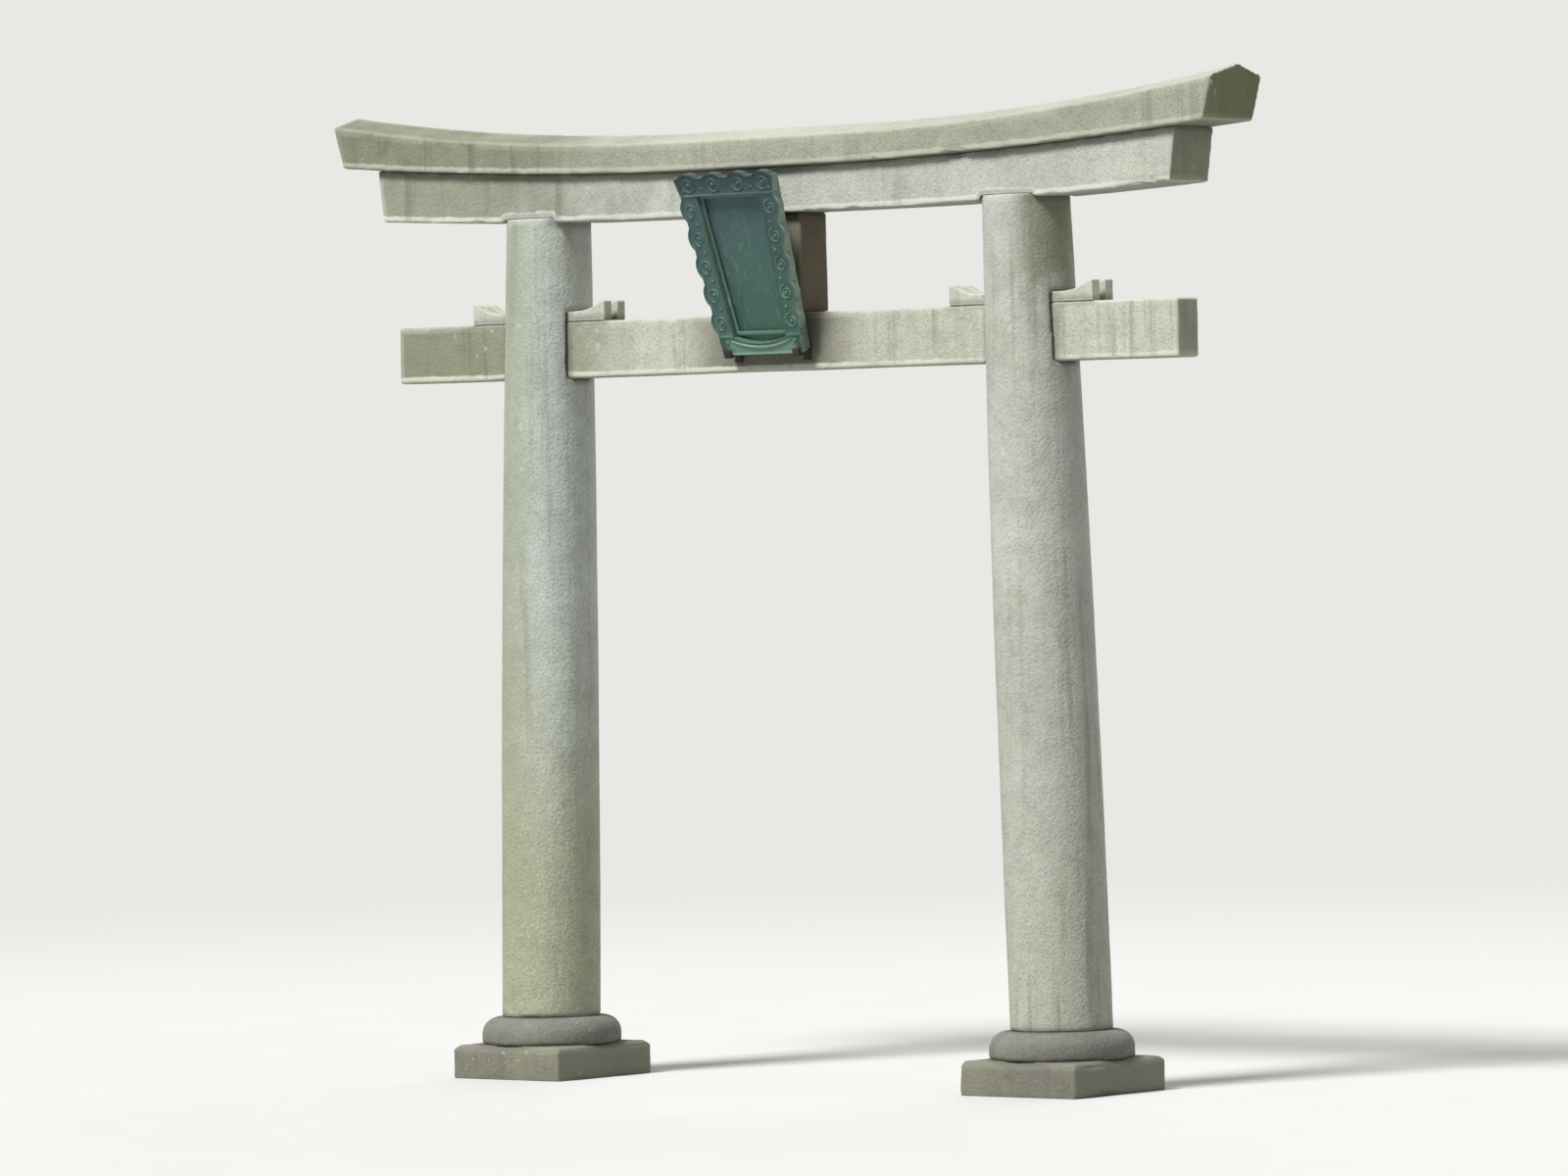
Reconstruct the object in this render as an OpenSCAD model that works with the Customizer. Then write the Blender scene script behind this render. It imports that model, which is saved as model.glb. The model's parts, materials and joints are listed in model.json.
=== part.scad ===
// Stone gate with two leaning round posts, a wedged tie beam and a curved
// double lintel, carrying a bronze name tablet that leans forward.
// The origin is at the middle of the left foot's underside. The right foot is
// along +X, the front faces -Y and +Z is up, in millimetres.

/* [Posts] */
// Distance between the post centres at their feet
post_spacing = 1940; // [1700:10:2200]
// Diameter of a post at its foot
post_foot_d = 295; // [270:5:310]
// Diameter of a post under the lower lintel
post_top_d = 253; // [235:1:265]
// How far the middle of a post swells past a straight taper
post_swell = 7; // [1:1:12]
// Inward lean of each post, in degrees
post_lean = 1.5; // [0.5:0.1:2.5]
// Depth of the socket that holds a post's top in the lower lintel
post_seat = 20; // [12:1:30]

/* [Base stones] */
// Width of the square block under each post
base_w = 420; // [400:5:480]
// Height of the square block
base_h = 100; // [60:5:160]
// Chamfer on the upper edges of the square block
base_chamfer = 12; // [4:1:20]
// Height of the round stone between block and post
foot_stone_h = 80; // [60:1:100]
// Radius of the rounded shoulder of the round stone
foot_stone_round = 52; // [30:1:56]
// Ledge that the round stone leaves around the post
foot_stone_ledge = 9; // [2:1:12]

/* [Tie beam] */
// Height from a post's foot to the underside of the tie beam
tie_clear_h = 1890; // [1700:10:2100]
// Length of the tie beam
tie_l = 2960; // [2800:10:3100]
// Height of the tie beam
tie_h = 170; // [140:1:200]
// Thickness of the tie beam
tie_t = 102; // [80:1:120]
// Gap on each side of the tie beam in its mortise
mortise_gap = 3; // [1:0.5:5]

/* [Wedges] */
// Reach of a wedge from the centre of its post
wedge_reach = 262; // [240:1:310]
// Gap between the two wedges of a front and back pair
wedge_split = 22; // [8:1:36]
// Height of a wedge at its thin end
wedge_tip_h = 22; // [12:1:30]
// Rise of a wedge's top inside its post, in degrees
wedge_slope = 3.4; // [1:0.1:5]
// Height of the upturned horn at a wedge's outer end
wedge_horn_h = 60; // [50:1:72]
// Length of the flat top of the horn
wedge_nib = 14; // [8:1:24]
// How much a wedge stands back from each face of the tie beam
wedge_inset = 2; // [1:1:6]

/* [Strut] */
// Height of the strut between tie beam and lower lintel
strut_h = 288; // [240:1:340]
// Width of the strut
strut_w = 242; // [160:1:280]
// Thickness of the strut
strut_t = 126; // [100:1:176]

/* [Lintels] */
// Length of the lower lintel along its underside
lower_l = 2988; // [2800:4:3100]
// Height of the lower lintel at its middle
lower_h = 132; // [110:1:160]
// Thickness of the lower lintel
lower_t = 184; // [180:1:210]
// How far the ends of the lower lintel's underside rise
lower_rise = 30; // [15:1:45]
// Half of the straight middle of the lower lintel's underside
lower_flat = 450; // [150:10:600]
// Slant of the lower lintel's ends, in degrees
lower_end_slant = 8; // [2:1:14]
// Length of the top lintel along its underside
top_l = 3264; // [3150:2:3400]
// Height of the top lintel at its middle, from its underside to its ridge
top_h = 120; // [105:1:140]
// Thickness of the top lintel
top_t = 236; // [216:1:260]
// How far the ends of the joint between the lintels rise
joint_rise = 64; // [50:1:75]
// Half of the straight middle of that joint
joint_flat = 100; // [0:10:450]
// How far the ends of the ridge rise
ridge_rise = 97; // [80:1:120]
// Half of the straight middle of the ridge
ridge_flat = 300; // [0:10:600]
// Slope of the top lintel's two roof faces, in degrees
roof_slope = 15; // [8:1:20]
// Slant of the top lintel's ends, in degrees
top_end_slant = 16; // [6:1:22]

/* [Tablet] */
// Width of the tablet across its top
tablet_w = 356; // [320:2:400]
// Width of the tablet across its foot
tablet_foot_w = 302; // [280:2:360]
// Height of the tablet along its slope
tablet_h = 536; // [480:2:580]
// How far the tablet leans forward, in degrees
tablet_lean = 18; // [14:0.5:24]
// Height of the tablet's foot above the underside of the tie beam
tablet_foot_up = 58; // [40:1:90]
// Thickness of the back board
board_t = 16; // [10:1:20]
// Thickness of the border boards on it
border_t = 26; // [16:1:32]
// Width of the border boards
border_w = 54; // [40:1:64]
// How far the scallops stand out past the border
scallop_out = 13; // [6:1:20]
// Number of scallops on each side board
side_scallops = 5; // [3:1:7]
// Number of scallops on the top board
end_scallops = 4; // [3:1:6]
// How far the ends of the top board flare out past the side boards
ear_out = 13; // [0:1:20]
// Dip in the inner edge of the bottom board
bottom_dip = 20; // [8:1:30]
// Width of the raised fillet inside the borders
fillet_w = 12; // [8:1:18]
// Height of the raised fillet above the back board
fillet_t = 10; // [5:1:14]
// Smallest gap between the tablet and the stone behind it
tablet_gap = 6; // [3:1:12]

/* [Tablet fixings] */
// Height of the two battens behind the back board
batten_h = 34; // [24:1:44]
// Thickness of the battens
batten_t = 16; // [10:1:20]
// Height of the lower batten up the tablet
batten_low = 170; // [160:5:220]
// Height of the upper batten up the tablet
batten_high = 420; // [380:5:440]
// Distance between the two foot brackets
bracket_spacing = 260; // [200:5:260]
// Width of a foot bracket
bracket_w = 26; // [18:1:36]
// Thickness of the iron of a foot bracket
bracket_t = 7; // [5:1:10]
// Distance between the two stays behind the tablet
stay_spacing = 90; // [80:5:240]
// Diameter of a stay
stay_d = 16; // [10:1:22]
// Height of the stays above the underside of the lower lintel
stay_up = 60; // [40:1:84]
// Diameter of the plate that fixes a stay to the lintel
stay_plate_d = 36; // [30:1:60]

/* [Hidden] */
foot_z = base_h + foot_stone_h;
tie_z = foot_z + tie_clear_h;
tie_top = tie_z + tie_h;
lintel_z = tie_top + strut_h;
joint_z = lintel_z + lower_h;
ridge_z = joint_z + top_h;
post_top_z = lintel_z + post_seat;
post_h = post_top_z - foot_z;
post_foot_r = post_foot_d / 2;
post_top_r = post_top_d / 2;
post_bands = 12;
// The post's outline runs on past both of its level cuts by this much
post_spare = 30;
foot_stone_top_r = post_foot_r + foot_stone_ledge;
foot_stone_r = foot_stone_top_r + foot_stone_round;
wedge_w = (tie_t - wedge_split) / 2 - wedge_inset;
wedge_tip_gap = 4;
// The horn starts where a wedge has left its post
wedge_horn_clear = 4;
wedge_horn_x = post_foot_r + wedge_horn_clear;
wedge_horn_z = wedge_tip_h + wedge_horn_x * tan(wedge_slope);
wedge_y = (wedge_split + wedge_w) / 2;
lower_half = lower_l / 2;
top_half = top_l / 2;
// Height of the boxes that lintel outlines are cut from
lintel_room = 600;
// More than half of any piece's length
far = 2500;
tablet_z = tie_z + tablet_foot_up;
back_y = board_t / cos(tablet_lean);
batten_y = (board_t + batten_t) / cos(tablet_lean);
clear_of_tie = tie_t / 2 + tablet_gap + back_y;
strut_back = strut_t / 2 + tablet_gap;
clear_of_strut = strut_back + back_y - (tie_top - tablet_z) * tan(tablet_lean);
batten_clear = strut_back + batten_y - (batten_low - batten_h) * sin(tablet_lean);
tablet_y = -max(clear_of_tie, clear_of_strut, batten_clear);
// Slant of the tablet's sides, the height where its top board starts, and the side
// boards' width measured level
side_slant = atan((tablet_w - tablet_foot_w) / 2 / tablet_h);
top_board_z = tablet_h - border_w;
border_across = border_w / cos(side_slant);
fillet_across = fillet_w / cos(side_slant);
scallop_side = (top_board_z - border_w) / cos(side_slant) / side_scallops;
// Radius of a scallop as a share of the scallops' spacing
scallop_share = 0.56;
// How far the back board stands back from the outer edges of its borders
board_step = 3;
bracket_toe = 16;
bracket_top = 14;
bracket_drop = 26;
stay_plate_t = 6;
stay_z = lintel_z + stay_up;
// Flat steps from the middle of a lintel's curve to its end, and how far past the
// end the curve is drawn
curve_steps = 18;
curve_reach = 1.1;
// Fineness of small rounds, of long shallow arcs and of all other rounds
small_fn = 48;
arc_fn = 360;
$fn = 96;

// Radius of a post's outline at a height measured along its axis
function post_r(t) =
    post_foot_r + (post_top_r - post_foot_r) * t + post_swell * 4 * t * (1 - t);

// Distance of a post's axis from the middle of the gate at a height
function post_x(z) = post_spacing / 2 - (z - foot_z) * tan(post_lean);

// Rise of a lintel's curve at x: level in the middle, then ever steeper to its end
function curve_rise(x, half, flat, rise) =
    rise * pow(max(abs(x) - flat, 0) / (half - flat), 2);

// Moves a piece that is drawn about the gate's middle to its place from the left foot
module from_left_foot() {
    translate([post_spacing / 2, 0, 0])
        children();
}

// Upright prism: an outline in x and z, drawn through the gate's depth
module through_depth(depth) {
    rotate([90, 0, 0])
        linear_extrude(height = depth, center = true)
            children();
}

// Everything above a line that is level in the middle and curves up to its ends
module above_curve(half, flat, rise, z) {
    reach = half * curve_reach;
    polygon(concat(
        [for (i = [-curve_steps:curve_steps])
            let (x = reach * i / curve_steps) [x, z + curve_rise(x, half, flat, rise)]],
        [[reach, z + 2 * lintel_room], [-reach, z + 2 * lintel_room]]
    ));
}

// Outline with slanted ends, wider at its top, of a given half length at height z
module slanted_ends(half, slant, z) {
    run = lintel_room * tan(slant);
    polygon([
        [run - half, z - lintel_room],
        [half - run, z - lintel_room],
        [half + run, z + lintel_room],
        [-half - run, z + lintel_room]
    ]);
}

// Round tapering shaft of a post along its leaning axis
module post_shaft(side, grow) {
    long = post_h / cos(post_lean);
    translate([side * post_spacing / 2, 0, foot_z])
        rotate([0, -side * post_lean, 0])
            rotate_extrude()
                polygon(concat(
                    [[0, -post_spare], [post_r(0) + grow, -post_spare]],
                    [for (i = [0:post_bands]) [post_r(i / post_bands) + grow, long * i / post_bands]],
                    [[post_r(1) + grow, long + post_spare], [0, long + post_spare]]
                ));
}

// Slab between two heights, wide enough to cut any piece
module slab(low, high) {
    translate([-far, -far, low])
        cube([2 * far, 2 * far, high - low]);
}

// Tapering body of a wedge from near its post's centre to a given reach
module wedge_taper(reach) {
    polygon([
        [wedge_tip_gap, 0],
        [reach, 0],
        [reach, wedge_tip_h + reach * tan(wedge_slope)],
        [wedge_tip_gap, wedge_tip_h + wedge_tip_gap * tan(wedge_slope)]
    ]);
}

// Places a wedge outline beside a post, pointing outward or inward
module beside_post(side, outward) {
    translate([side * post_x(tie_top), 0, tie_top])
        mirror([side * outward < 0 ? 1 : 0, 0, 0])
            children();
}

module post(side) {
    color("lightgray")
        from_left_foot()
            difference() {
                intersection() {
                    post_shaft(side, 0);
                    slab(foot_z, post_top_z);
                }
                translate([side * post_x(tie_z) - post_foot_d, -tie_t / 2 - mortise_gap, tie_z])
                    cube([2 * post_foot_d, tie_t + 2 * mortise_gap, tie_h]);
                for (outward = [-1, 1])
                    beside_post(side, outward)
                        through_depth(tie_t + 2 * mortise_gap)
                            union() {
                                wedge_taper(post_foot_d);
                                square([wedge_tip_gap * 2, wedge_tip_h]);
                            }
            }
}

module base_block(side) {
    color("gray")
        from_left_foot()
            translate([side * post_spacing / 2, 0, 0])
                intersection() {
                    through_depth(base_w)
                        base_outline();
                    rotate([0, 0, 90])
                        through_depth(base_w)
                            base_outline();
                }
}

// Upright outline of the square block with its chamfered upper edges
module base_outline() {
    half = base_w / 2;
    polygon([
        [-half, 0],
        [half, 0],
        [half, base_h - base_chamfer],
        [half - base_chamfer, base_h],
        [base_chamfer - half, base_h],
        [-half, base_h - base_chamfer]
    ]);
}

module foot_stone(side) {
    color("darkgray")
        from_left_foot()
            translate([side * post_spacing / 2, 0, base_h])
                rotate_extrude()
                    union() {
                        square([foot_stone_top_r, foot_stone_h]);
                        square([foot_stone_r, foot_stone_h - foot_stone_round]);
                        translate([foot_stone_top_r, foot_stone_h - foot_stone_round])
                            intersection() {
                                circle(r = foot_stone_round, $fn = small_fn);
                                square(foot_stone_round);
                            }
                    }
}

module tie_beam() {
    color("tan")
        from_left_foot()
            translate([-tie_l / 2, -tie_t / 2, tie_z])
                cube([tie_l, tie_t, tie_h]);
}

// Upright outline of a wedge: a slim taper that sweeps up into a horn
module wedge_outline() {
    sweep = wedge_reach - wedge_nib - wedge_horn_x;
    rise = wedge_horn_h - wedge_horn_z;
    sweep_r = (pow(sweep, 2) + pow(rise, 2)) / (2 * rise);
    union() {
        wedge_taper(wedge_horn_x);
        difference() {
            translate([wedge_horn_x, 0])
                square([wedge_reach - wedge_horn_x, wedge_horn_h]);
            translate([wedge_horn_x, wedge_horn_z + sweep_r])
                circle(r = sweep_r, $fn = arc_fn);
        }
    }
}

// Wedge beside a post: side is the post, outward the way it points, depth its row
module wedge(side, outward, depth) {
    color("wheat")
        from_left_foot()
            beside_post(side, outward)
                translate([0, depth * wedge_y, 0])
                    through_depth(wedge_w)
                        wedge_outline();
}

module center_strut() {
    color("tan")
        from_left_foot()
            translate([-strut_w / 2, -strut_t / 2, tie_top])
                cube([strut_w, strut_t, strut_h]);
}

module lower_lintel() {
    color("silver")
        from_left_foot()
            difference() {
                through_depth(lower_t)
                    difference() {
                        intersection() {
                            slanted_ends(lower_half, lower_end_slant, lintel_z + lower_rise);
                            above_curve(lower_half, lower_flat, lower_rise, lintel_z);
                        }
                        above_curve(top_half, joint_flat, joint_rise, joint_z);
                    }
                for (side = [-1, 1])
                    intersection() {
                        post_shaft(side, mortise_gap);
                        slab(tie_top, post_top_z);
                    }
            }
}

// Everything under a roof face that falls toward -Y from the curved ridge
module under_roof_face() {
    ridge_v = ridge_z * cos(roof_slope);
    rotate([roof_slope, 0, 0])
        through_depth(2 * far)
            difference() {
                translate([-far, 0])
                    square([2 * far, ridge_v + lintel_room]);
                above_curve(top_half, ridge_flat, ridge_rise * cos(roof_slope), ridge_v);
                translate([-far, ridge_v + lintel_room / 2])
                    square([2 * far, lintel_room]);
            }
}

module top_lintel() {
    color("silver")
        from_left_foot()
            intersection() {
                through_depth(top_t)
                    intersection() {
                        slanted_ends(top_half, top_end_slant, joint_z + joint_rise);
                        above_curve(top_half, joint_flat, joint_rise, joint_z);
                    }
                under_roof_face();
                mirror([0, 1, 0])
                    under_roof_face();
            }
}

// Moves a piece drawn upright to the tablet's leaning place
module on_tablet() {
    translate([0, tablet_y, tablet_z])
        rotate([tablet_lean, 0, 0])
            children();
}

// A flat board of the tablet: an outline drawn from one depth to another
module tablet_layer(front, back) {
    translate([0, (front + back) / 2, 0])
        through_depth(back - front)
            children();
}

// Half width of the tablet at a height up its slope
function tablet_half(up) = (tablet_foot_w + (tablet_w - tablet_foot_w) * up / tablet_h) / 2;

// The tablet's tapering outline between two heights, less a margin at each side
module tapering(low, high, margin) {
    polygon([
        [margin - tablet_half(low), low],
        [tablet_half(low) - margin, low],
        [tablet_half(high) - margin, high],
        [margin - tablet_half(high), high]
    ]);
}

// Half width of the top board at a height up the tablet's slope
function top_board_half(up) = tablet_half(top_board_z) + ear_out * (up - top_board_z) / border_w;

// The top board's outline up to a height
module flaring(high) {
    polygon([
        [-top_board_half(top_board_z), top_board_z],
        [top_board_half(top_board_z), top_board_z],
        [top_board_half(high), high],
        [-top_board_half(high), high]
    ]);
}

// A row of scallops along +x, standing out by scallop_out past the line y = 0
module scallop_row(count, pitch) {
    r = pitch * scallop_share;
    for (i = [0:count - 1])
        translate([(i + 0.5) * pitch, scallop_out - r])
            circle(r = r, $fn = small_fn);
}

module tablet_board() {
    color("cadetblue")
        from_left_foot()
            on_tablet()
                tablet_layer(0, board_t)
                    tapering(board_step, tablet_h - board_step, board_step);
}

module side_border(side) {
    color("darkslategray")
        from_left_foot()
            on_tablet()
                tablet_layer(-border_t, 0)
                    mirror([side < 0 ? 1 : 0, 0])
                        intersection() {
                            translate([0, border_w])
                                square([far, top_board_z - border_w]);
                            difference() {
                                union() {
                                    tapering(0, tablet_h, 0);
                                    translate([tablet_half(top_board_z), top_board_z])
                                        rotate(-90 - side_slant)
                                            scallop_row(side_scallops, scallop_side);
                                }
                                tapering(0, tablet_h, border_across);
                            }
                        }
}

module tablet_top_border() {
    half = top_board_half(tablet_h);
    color("darkslategray")
        from_left_foot()
            on_tablet()
                tablet_layer(-border_t, 0)
                    intersection() {
                        flaring(tablet_h + scallop_out);
                        union() {
                            flaring(tablet_h);
                            translate([-half, tablet_h])
                                scallop_row(end_scallops, 2 * half / end_scallops);
                        }
                    }
}

module tablet_bottom_border() {
    dip_half = tablet_half(border_w) - border_across;
    dip_r = (pow(dip_half, 2) + pow(bottom_dip, 2)) / (2 * bottom_dip);
    color("darkslategray")
        from_left_foot()
            on_tablet()
                tablet_layer(-border_t, 0)
                    difference() {
                        tapering(0, border_w, 0);
                        translate([0, border_w + dip_r - bottom_dip])
                            circle(r = dip_r, $fn = arc_fn);
                    }
}

module tablet_fillet() {
    color("cadetblue")
        from_left_foot()
            on_tablet()
                tablet_layer(-fillet_t, 0)
                    difference() {
                        tapering(border_w, top_board_z, border_across);
                        tapering(border_w + fillet_w, top_board_z - fillet_w, border_across + fillet_across);
                    }
}

module batten(up) {
    half = tablet_half(batten_low) - border_across;
    color("dimgray")
        from_left_foot()
            on_tablet()
                tablet_layer(board_t, board_t + batten_t)
                    translate([-half, up - batten_h / 2])
                        square([2 * half, batten_h]);
}

// A point in y and z, given by its distances across and up the leaning tablet
function tablet_point(across, up) = [
    tablet_y + across * cos(tablet_lean) - up * sin(tablet_lean),
    tablet_z + across * sin(tablet_lean) + up * cos(tablet_lean)
];

module bracket(side) {
    face_y = -tie_t / 2;
    plate_y = face_y - bracket_t;
    shelf_z = tablet_z + (plate_y - tablet_y) * tan(tablet_lean);
    under_z = shelf_z - bracket_t / cos(tablet_lean);
    color("dimgray")
        from_left_foot()
            translate([side * bracket_spacing / 2, 0, 0])
                rotate([90, 0, 90])
                    linear_extrude(height = bracket_w, center = true)
                        polygon([
                            [face_y, under_z - bracket_drop],
                            [face_y, shelf_z + bracket_top],
                            [plate_y, shelf_z + bracket_top],
                            [plate_y, shelf_z],
                            tablet_point(-border_t, 0),
                            tablet_point(-border_t, bracket_toe),
                            tablet_point(-border_t - bracket_t, bracket_toe),
                            tablet_point(-border_t - bracket_t, -bracket_t),
                            [plate_y, under_z],
                            [plate_y, under_z - bracket_drop]
                        ]);
}

module stay(side) {
    color("dimgray")
        from_left_foot()
            union() {
                translate([side * stay_spacing / 2, -lower_t / 2, stay_z])
                    rotate([90, 0, 0])
                        cylinder(h = stay_plate_t, d = stay_plate_d, $fn = small_fn);
                difference() {
                    translate([side * stay_spacing / 2, -lower_t / 2, stay_z])
                        rotate([90, 0, 0])
                            cylinder(h = far, d = stay_d, $fn = small_fn);
                    on_tablet()
                        translate([-far, board_t - 2 * far, -far])
                            cube([2 * far, 2 * far, 2 * far]);
                }
            }
}

base_block(-1);  // left_base_block
base_block(1);  // right_base_block
foot_stone(-1);  // left_foot_stone
foot_stone(1);  // right_foot_stone
post(-1);  // left_post
post(1);  // right_post
tie_beam();
wedge(-1, 1, -1);  // left_outer_front_wedge
wedge(-1, 1, 1);  // left_outer_back_wedge
wedge(-1, -1, -1);  // left_inner_front_wedge
wedge(-1, -1, 1);  // left_inner_back_wedge
wedge(1, -1, -1);  // right_inner_front_wedge
wedge(1, -1, 1);  // right_inner_back_wedge
wedge(1, 1, -1);  // right_outer_front_wedge
wedge(1, 1, 1);  // right_outer_back_wedge
center_strut();
lower_lintel();
top_lintel();
tablet_board();
side_border(-1);  // tablet_left_border
side_border(1);  // tablet_right_border
tablet_top_border();
tablet_bottom_border();
tablet_fillet();
batten(batten_low);  // lower_batten
batten(batten_high);  // upper_batten
bracket(-1);  // left_bracket
bracket(1);  // right_bracket
stay(-1);  // left_stay
stay(1);  // right_stay
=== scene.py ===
"""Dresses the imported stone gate: worn granite, a green bronze tablet and iron fixings, on a pale floor."""

import json
import math
from functools import cache, cached_property

import bmesh
import bpy
from bpy.props import FloatProperty, FloatVectorProperty, IntProperty, PointerProperty
from mathutils import Matrix, Vector, bvhtree, kdtree, noise


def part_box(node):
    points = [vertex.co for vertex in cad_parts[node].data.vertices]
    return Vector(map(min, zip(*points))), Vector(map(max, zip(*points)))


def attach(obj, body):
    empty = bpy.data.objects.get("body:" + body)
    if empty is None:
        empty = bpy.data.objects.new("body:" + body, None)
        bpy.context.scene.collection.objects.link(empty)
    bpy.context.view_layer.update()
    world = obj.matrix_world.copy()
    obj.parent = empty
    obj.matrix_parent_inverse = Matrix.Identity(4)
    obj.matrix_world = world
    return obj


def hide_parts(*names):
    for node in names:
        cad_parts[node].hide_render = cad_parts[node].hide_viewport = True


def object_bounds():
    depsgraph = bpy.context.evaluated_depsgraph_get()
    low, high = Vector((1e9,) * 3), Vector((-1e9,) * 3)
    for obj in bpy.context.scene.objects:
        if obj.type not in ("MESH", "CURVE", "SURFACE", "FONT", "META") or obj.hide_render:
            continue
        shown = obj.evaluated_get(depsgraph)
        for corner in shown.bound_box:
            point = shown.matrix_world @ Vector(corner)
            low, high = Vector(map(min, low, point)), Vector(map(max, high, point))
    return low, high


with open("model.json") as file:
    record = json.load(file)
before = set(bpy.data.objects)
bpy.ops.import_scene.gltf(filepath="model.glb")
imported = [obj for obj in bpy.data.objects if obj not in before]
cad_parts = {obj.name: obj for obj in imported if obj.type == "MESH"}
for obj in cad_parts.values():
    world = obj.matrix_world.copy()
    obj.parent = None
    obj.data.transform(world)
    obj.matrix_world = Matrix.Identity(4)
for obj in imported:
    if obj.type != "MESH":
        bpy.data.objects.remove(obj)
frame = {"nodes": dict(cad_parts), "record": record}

cad_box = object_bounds()

bl_info = {
    "name": "Stone Gate",
    "version": (1, 0, 0),
    "blender": (4, 5, 0),
    "location": "3D View > Sidebar > Stone Gate",
    "description": "Finishes the stones, the bronze tablet and the iron fixings of a small stone gate",
    "category": "Object",
}

BODY = "root"
SLOT_OF = {part["node"]: part["material_slot"] for part in frame["record"]["subparts"]}
SIDES = ("left", "right")
# The sign of X on each side, from the gate's middle
SIDE_SIGNS = (("left", -1), ("right", 1))
BASES = [f"{side}_base_block" for side in SIDES]
FOOT_STONES = [f"{side}_foot_stone" for side in SIDES]
POSTS = [f"{side}_post" for side in SIDES]
BEAM = ["tie_beam"]
STRUT = ["center_strut"]
WEDGES = [
    f"{side}_{way}_{row}_wedge" for side in SIDES for way in ("outer", "inner") for row in ("front", "back")]
LINTELS = ["lower_lintel", "top_lintel"]
STONES = BASES + FOOT_STONES + POSTS + BEAM + STRUT + WEDGES + LINTELS
BORDERS = [f"tablet_{edge}_border" for edge in ("left", "right", "top", "bottom")]
BOARDS = ["tablet_board", "tablet_fillet"]
BATTENS = ["lower_batten", "upper_batten"]
FIXINGS = BATTENS + ["left_bracket", "right_bracket", "left_stay", "right_stay"]

GATE_LOW, GATE_HIGH = cad_box
GATE_MIDDLE = (GATE_LOW + GATE_HIGH) / 2


def paint(red, green, blue):
    """A colour as it shows on screen, 0 to 255, turned into the linear values that shaders take"""
    def linear(channel):
        share = channel / 255
        return share / 12.92 if share <= 0.04045 else ((share + 0.055) / 1.055) ** 2.4
    return (linear(red), linear(green), linear(blue))


def scaled(colour, share):
    """A colour made darker or lighter"""
    return tuple(min(channel * share, 1.0) for channel in colour)


def length_setting(name, description, default, low, high):
    """A length in metres that a user can change"""
    return FloatProperty(
        name=name, description=description, default=default, min=low, max=high, unit="LENGTH")


def number_setting(name, description, default, low, high):
    """A plain number that a user can change"""
    return FloatProperty(name=name, description=description, default=default, min=low, max=high)


def count_setting(name, description, default, low, high):
    """A count that a user can change"""
    return IntProperty(name=name, description=description, default=default, min=low, max=high)


def colour_setting(name, description, red, green, blue):
    """A colour that a user can change, given as it shows on screen"""
    return FloatVectorProperty(
        name=name, description=description, subtype="COLOR", default=paint(red, green, blue))


class GateStone(bpy.types.PropertyGroup):
    """Sizes of the stones' worn surfaces"""

    grid: length_setting("Mesh grid", "Spacing of the mesh on the large stones", 0.0065, 0.004, 0.03)
    fine_grid: length_setting("Fine mesh grid", "Spacing of the mesh on the wedges", 0.004, 0.002, 0.02)
    arris_radius: length_setting(
        "Arris radius", "Radius that weather has given the arrises", 0.008, 0.0, 0.02)
    chip_size: length_setting(
        "Chip size", "How much larger that radius grows where an arris is chipped", 0.045, 0.0, 0.2)
    waviness: length_setting(
        "Waviness", "Depth of the slow unevenness of hand-dressed faces", 0.0022, 0.0, 0.005)
    tool_depth: length_setting("Tool depth", "Depth of the hammer's marks", 0.0009, 0.0, 0.003)
    margin: length_setting("Dressed margin", "Width of the smoother margin along an arris", 0.020, 0.0, 0.05)


class GateColours(bpy.types.PropertyGroup):
    """Colours of the stones and metals"""

    left_post: colour_setting("Left post", "Pale bluish granite of the left post", 205, 211, 204)
    right_post: colour_setting("Right post", "Granite of the right post", 193, 197, 187)
    top_lintel: colour_setting("Top lintel", "Rain-darkened granite of the top lintel", 174, 176, 159)
    lower_lintel: colour_setting("Lower lintel", "Granite of the lower lintel", 198, 201, 190)
    beam: colour_setting("Beam", "Granite of the tie beam", 199, 199, 184)
    wedge: colour_setting("Wedges", "Paler granite of the wedges", 200, 200, 187)
    # Darker than the other stones: partly stain and partly the tablet's painted shade
    strut: colour_setting("Strut", "Stained granite of the strut", 130, 127, 108)
    base: colour_setting("Base blocks", "Granite of the square blocks", 133, 132, 119)
    foot_stone: colour_setting(
        "Foot stones", "Greyer granite of the round stones under the posts", 132, 134, 125)
    # Besides rain stain, this colour paints shade on the undersides, at the joints and beside the tablet, and
    # darkens patches at the left end
    stain_and_shade: colour_setting("Stain", "Rain stain on the stone", 104, 101, 88)
    # A darker grey-green tone that the stones take towards the left end
    dull: colour_setting("Dull film", "Dull film on the stones at the left end", 116, 118, 88)
    # Also paints shade on the faces turned to the left, on the left post
    algae: colour_setting("Algae", "Green growth on damp stone", 132, 137, 92)
    # This colour also paints shade on the ends turned to the right and under the lintel
    moss_and_shade: colour_setting("Moss", "Moss and dirt on faces that stay damp", 110, 114, 78)
    film: colour_setting("Film", "Thin yellow-green film in patches on the stone", 184, 189, 146)
    # Also the colour of the painted light on faces that slope to the sky
    lichen: colour_setting("Lichen", "Pale spots on the stone", 210, 212, 198)
    verdigris: colour_setting("Verdigris", "Green of the tablet's lower half", 72, 108, 95)
    blue_bronze: colour_setting("Blue bronze", "Bluish bronze of the tablet's upper half", 72, 96, 99)
    crust: colour_setting("Crust", "Pale crust on the bronze", 130, 163, 148)
    iron: colour_setting("Iron", "Dark iron of the fixings", 50, 46, 43)


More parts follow.
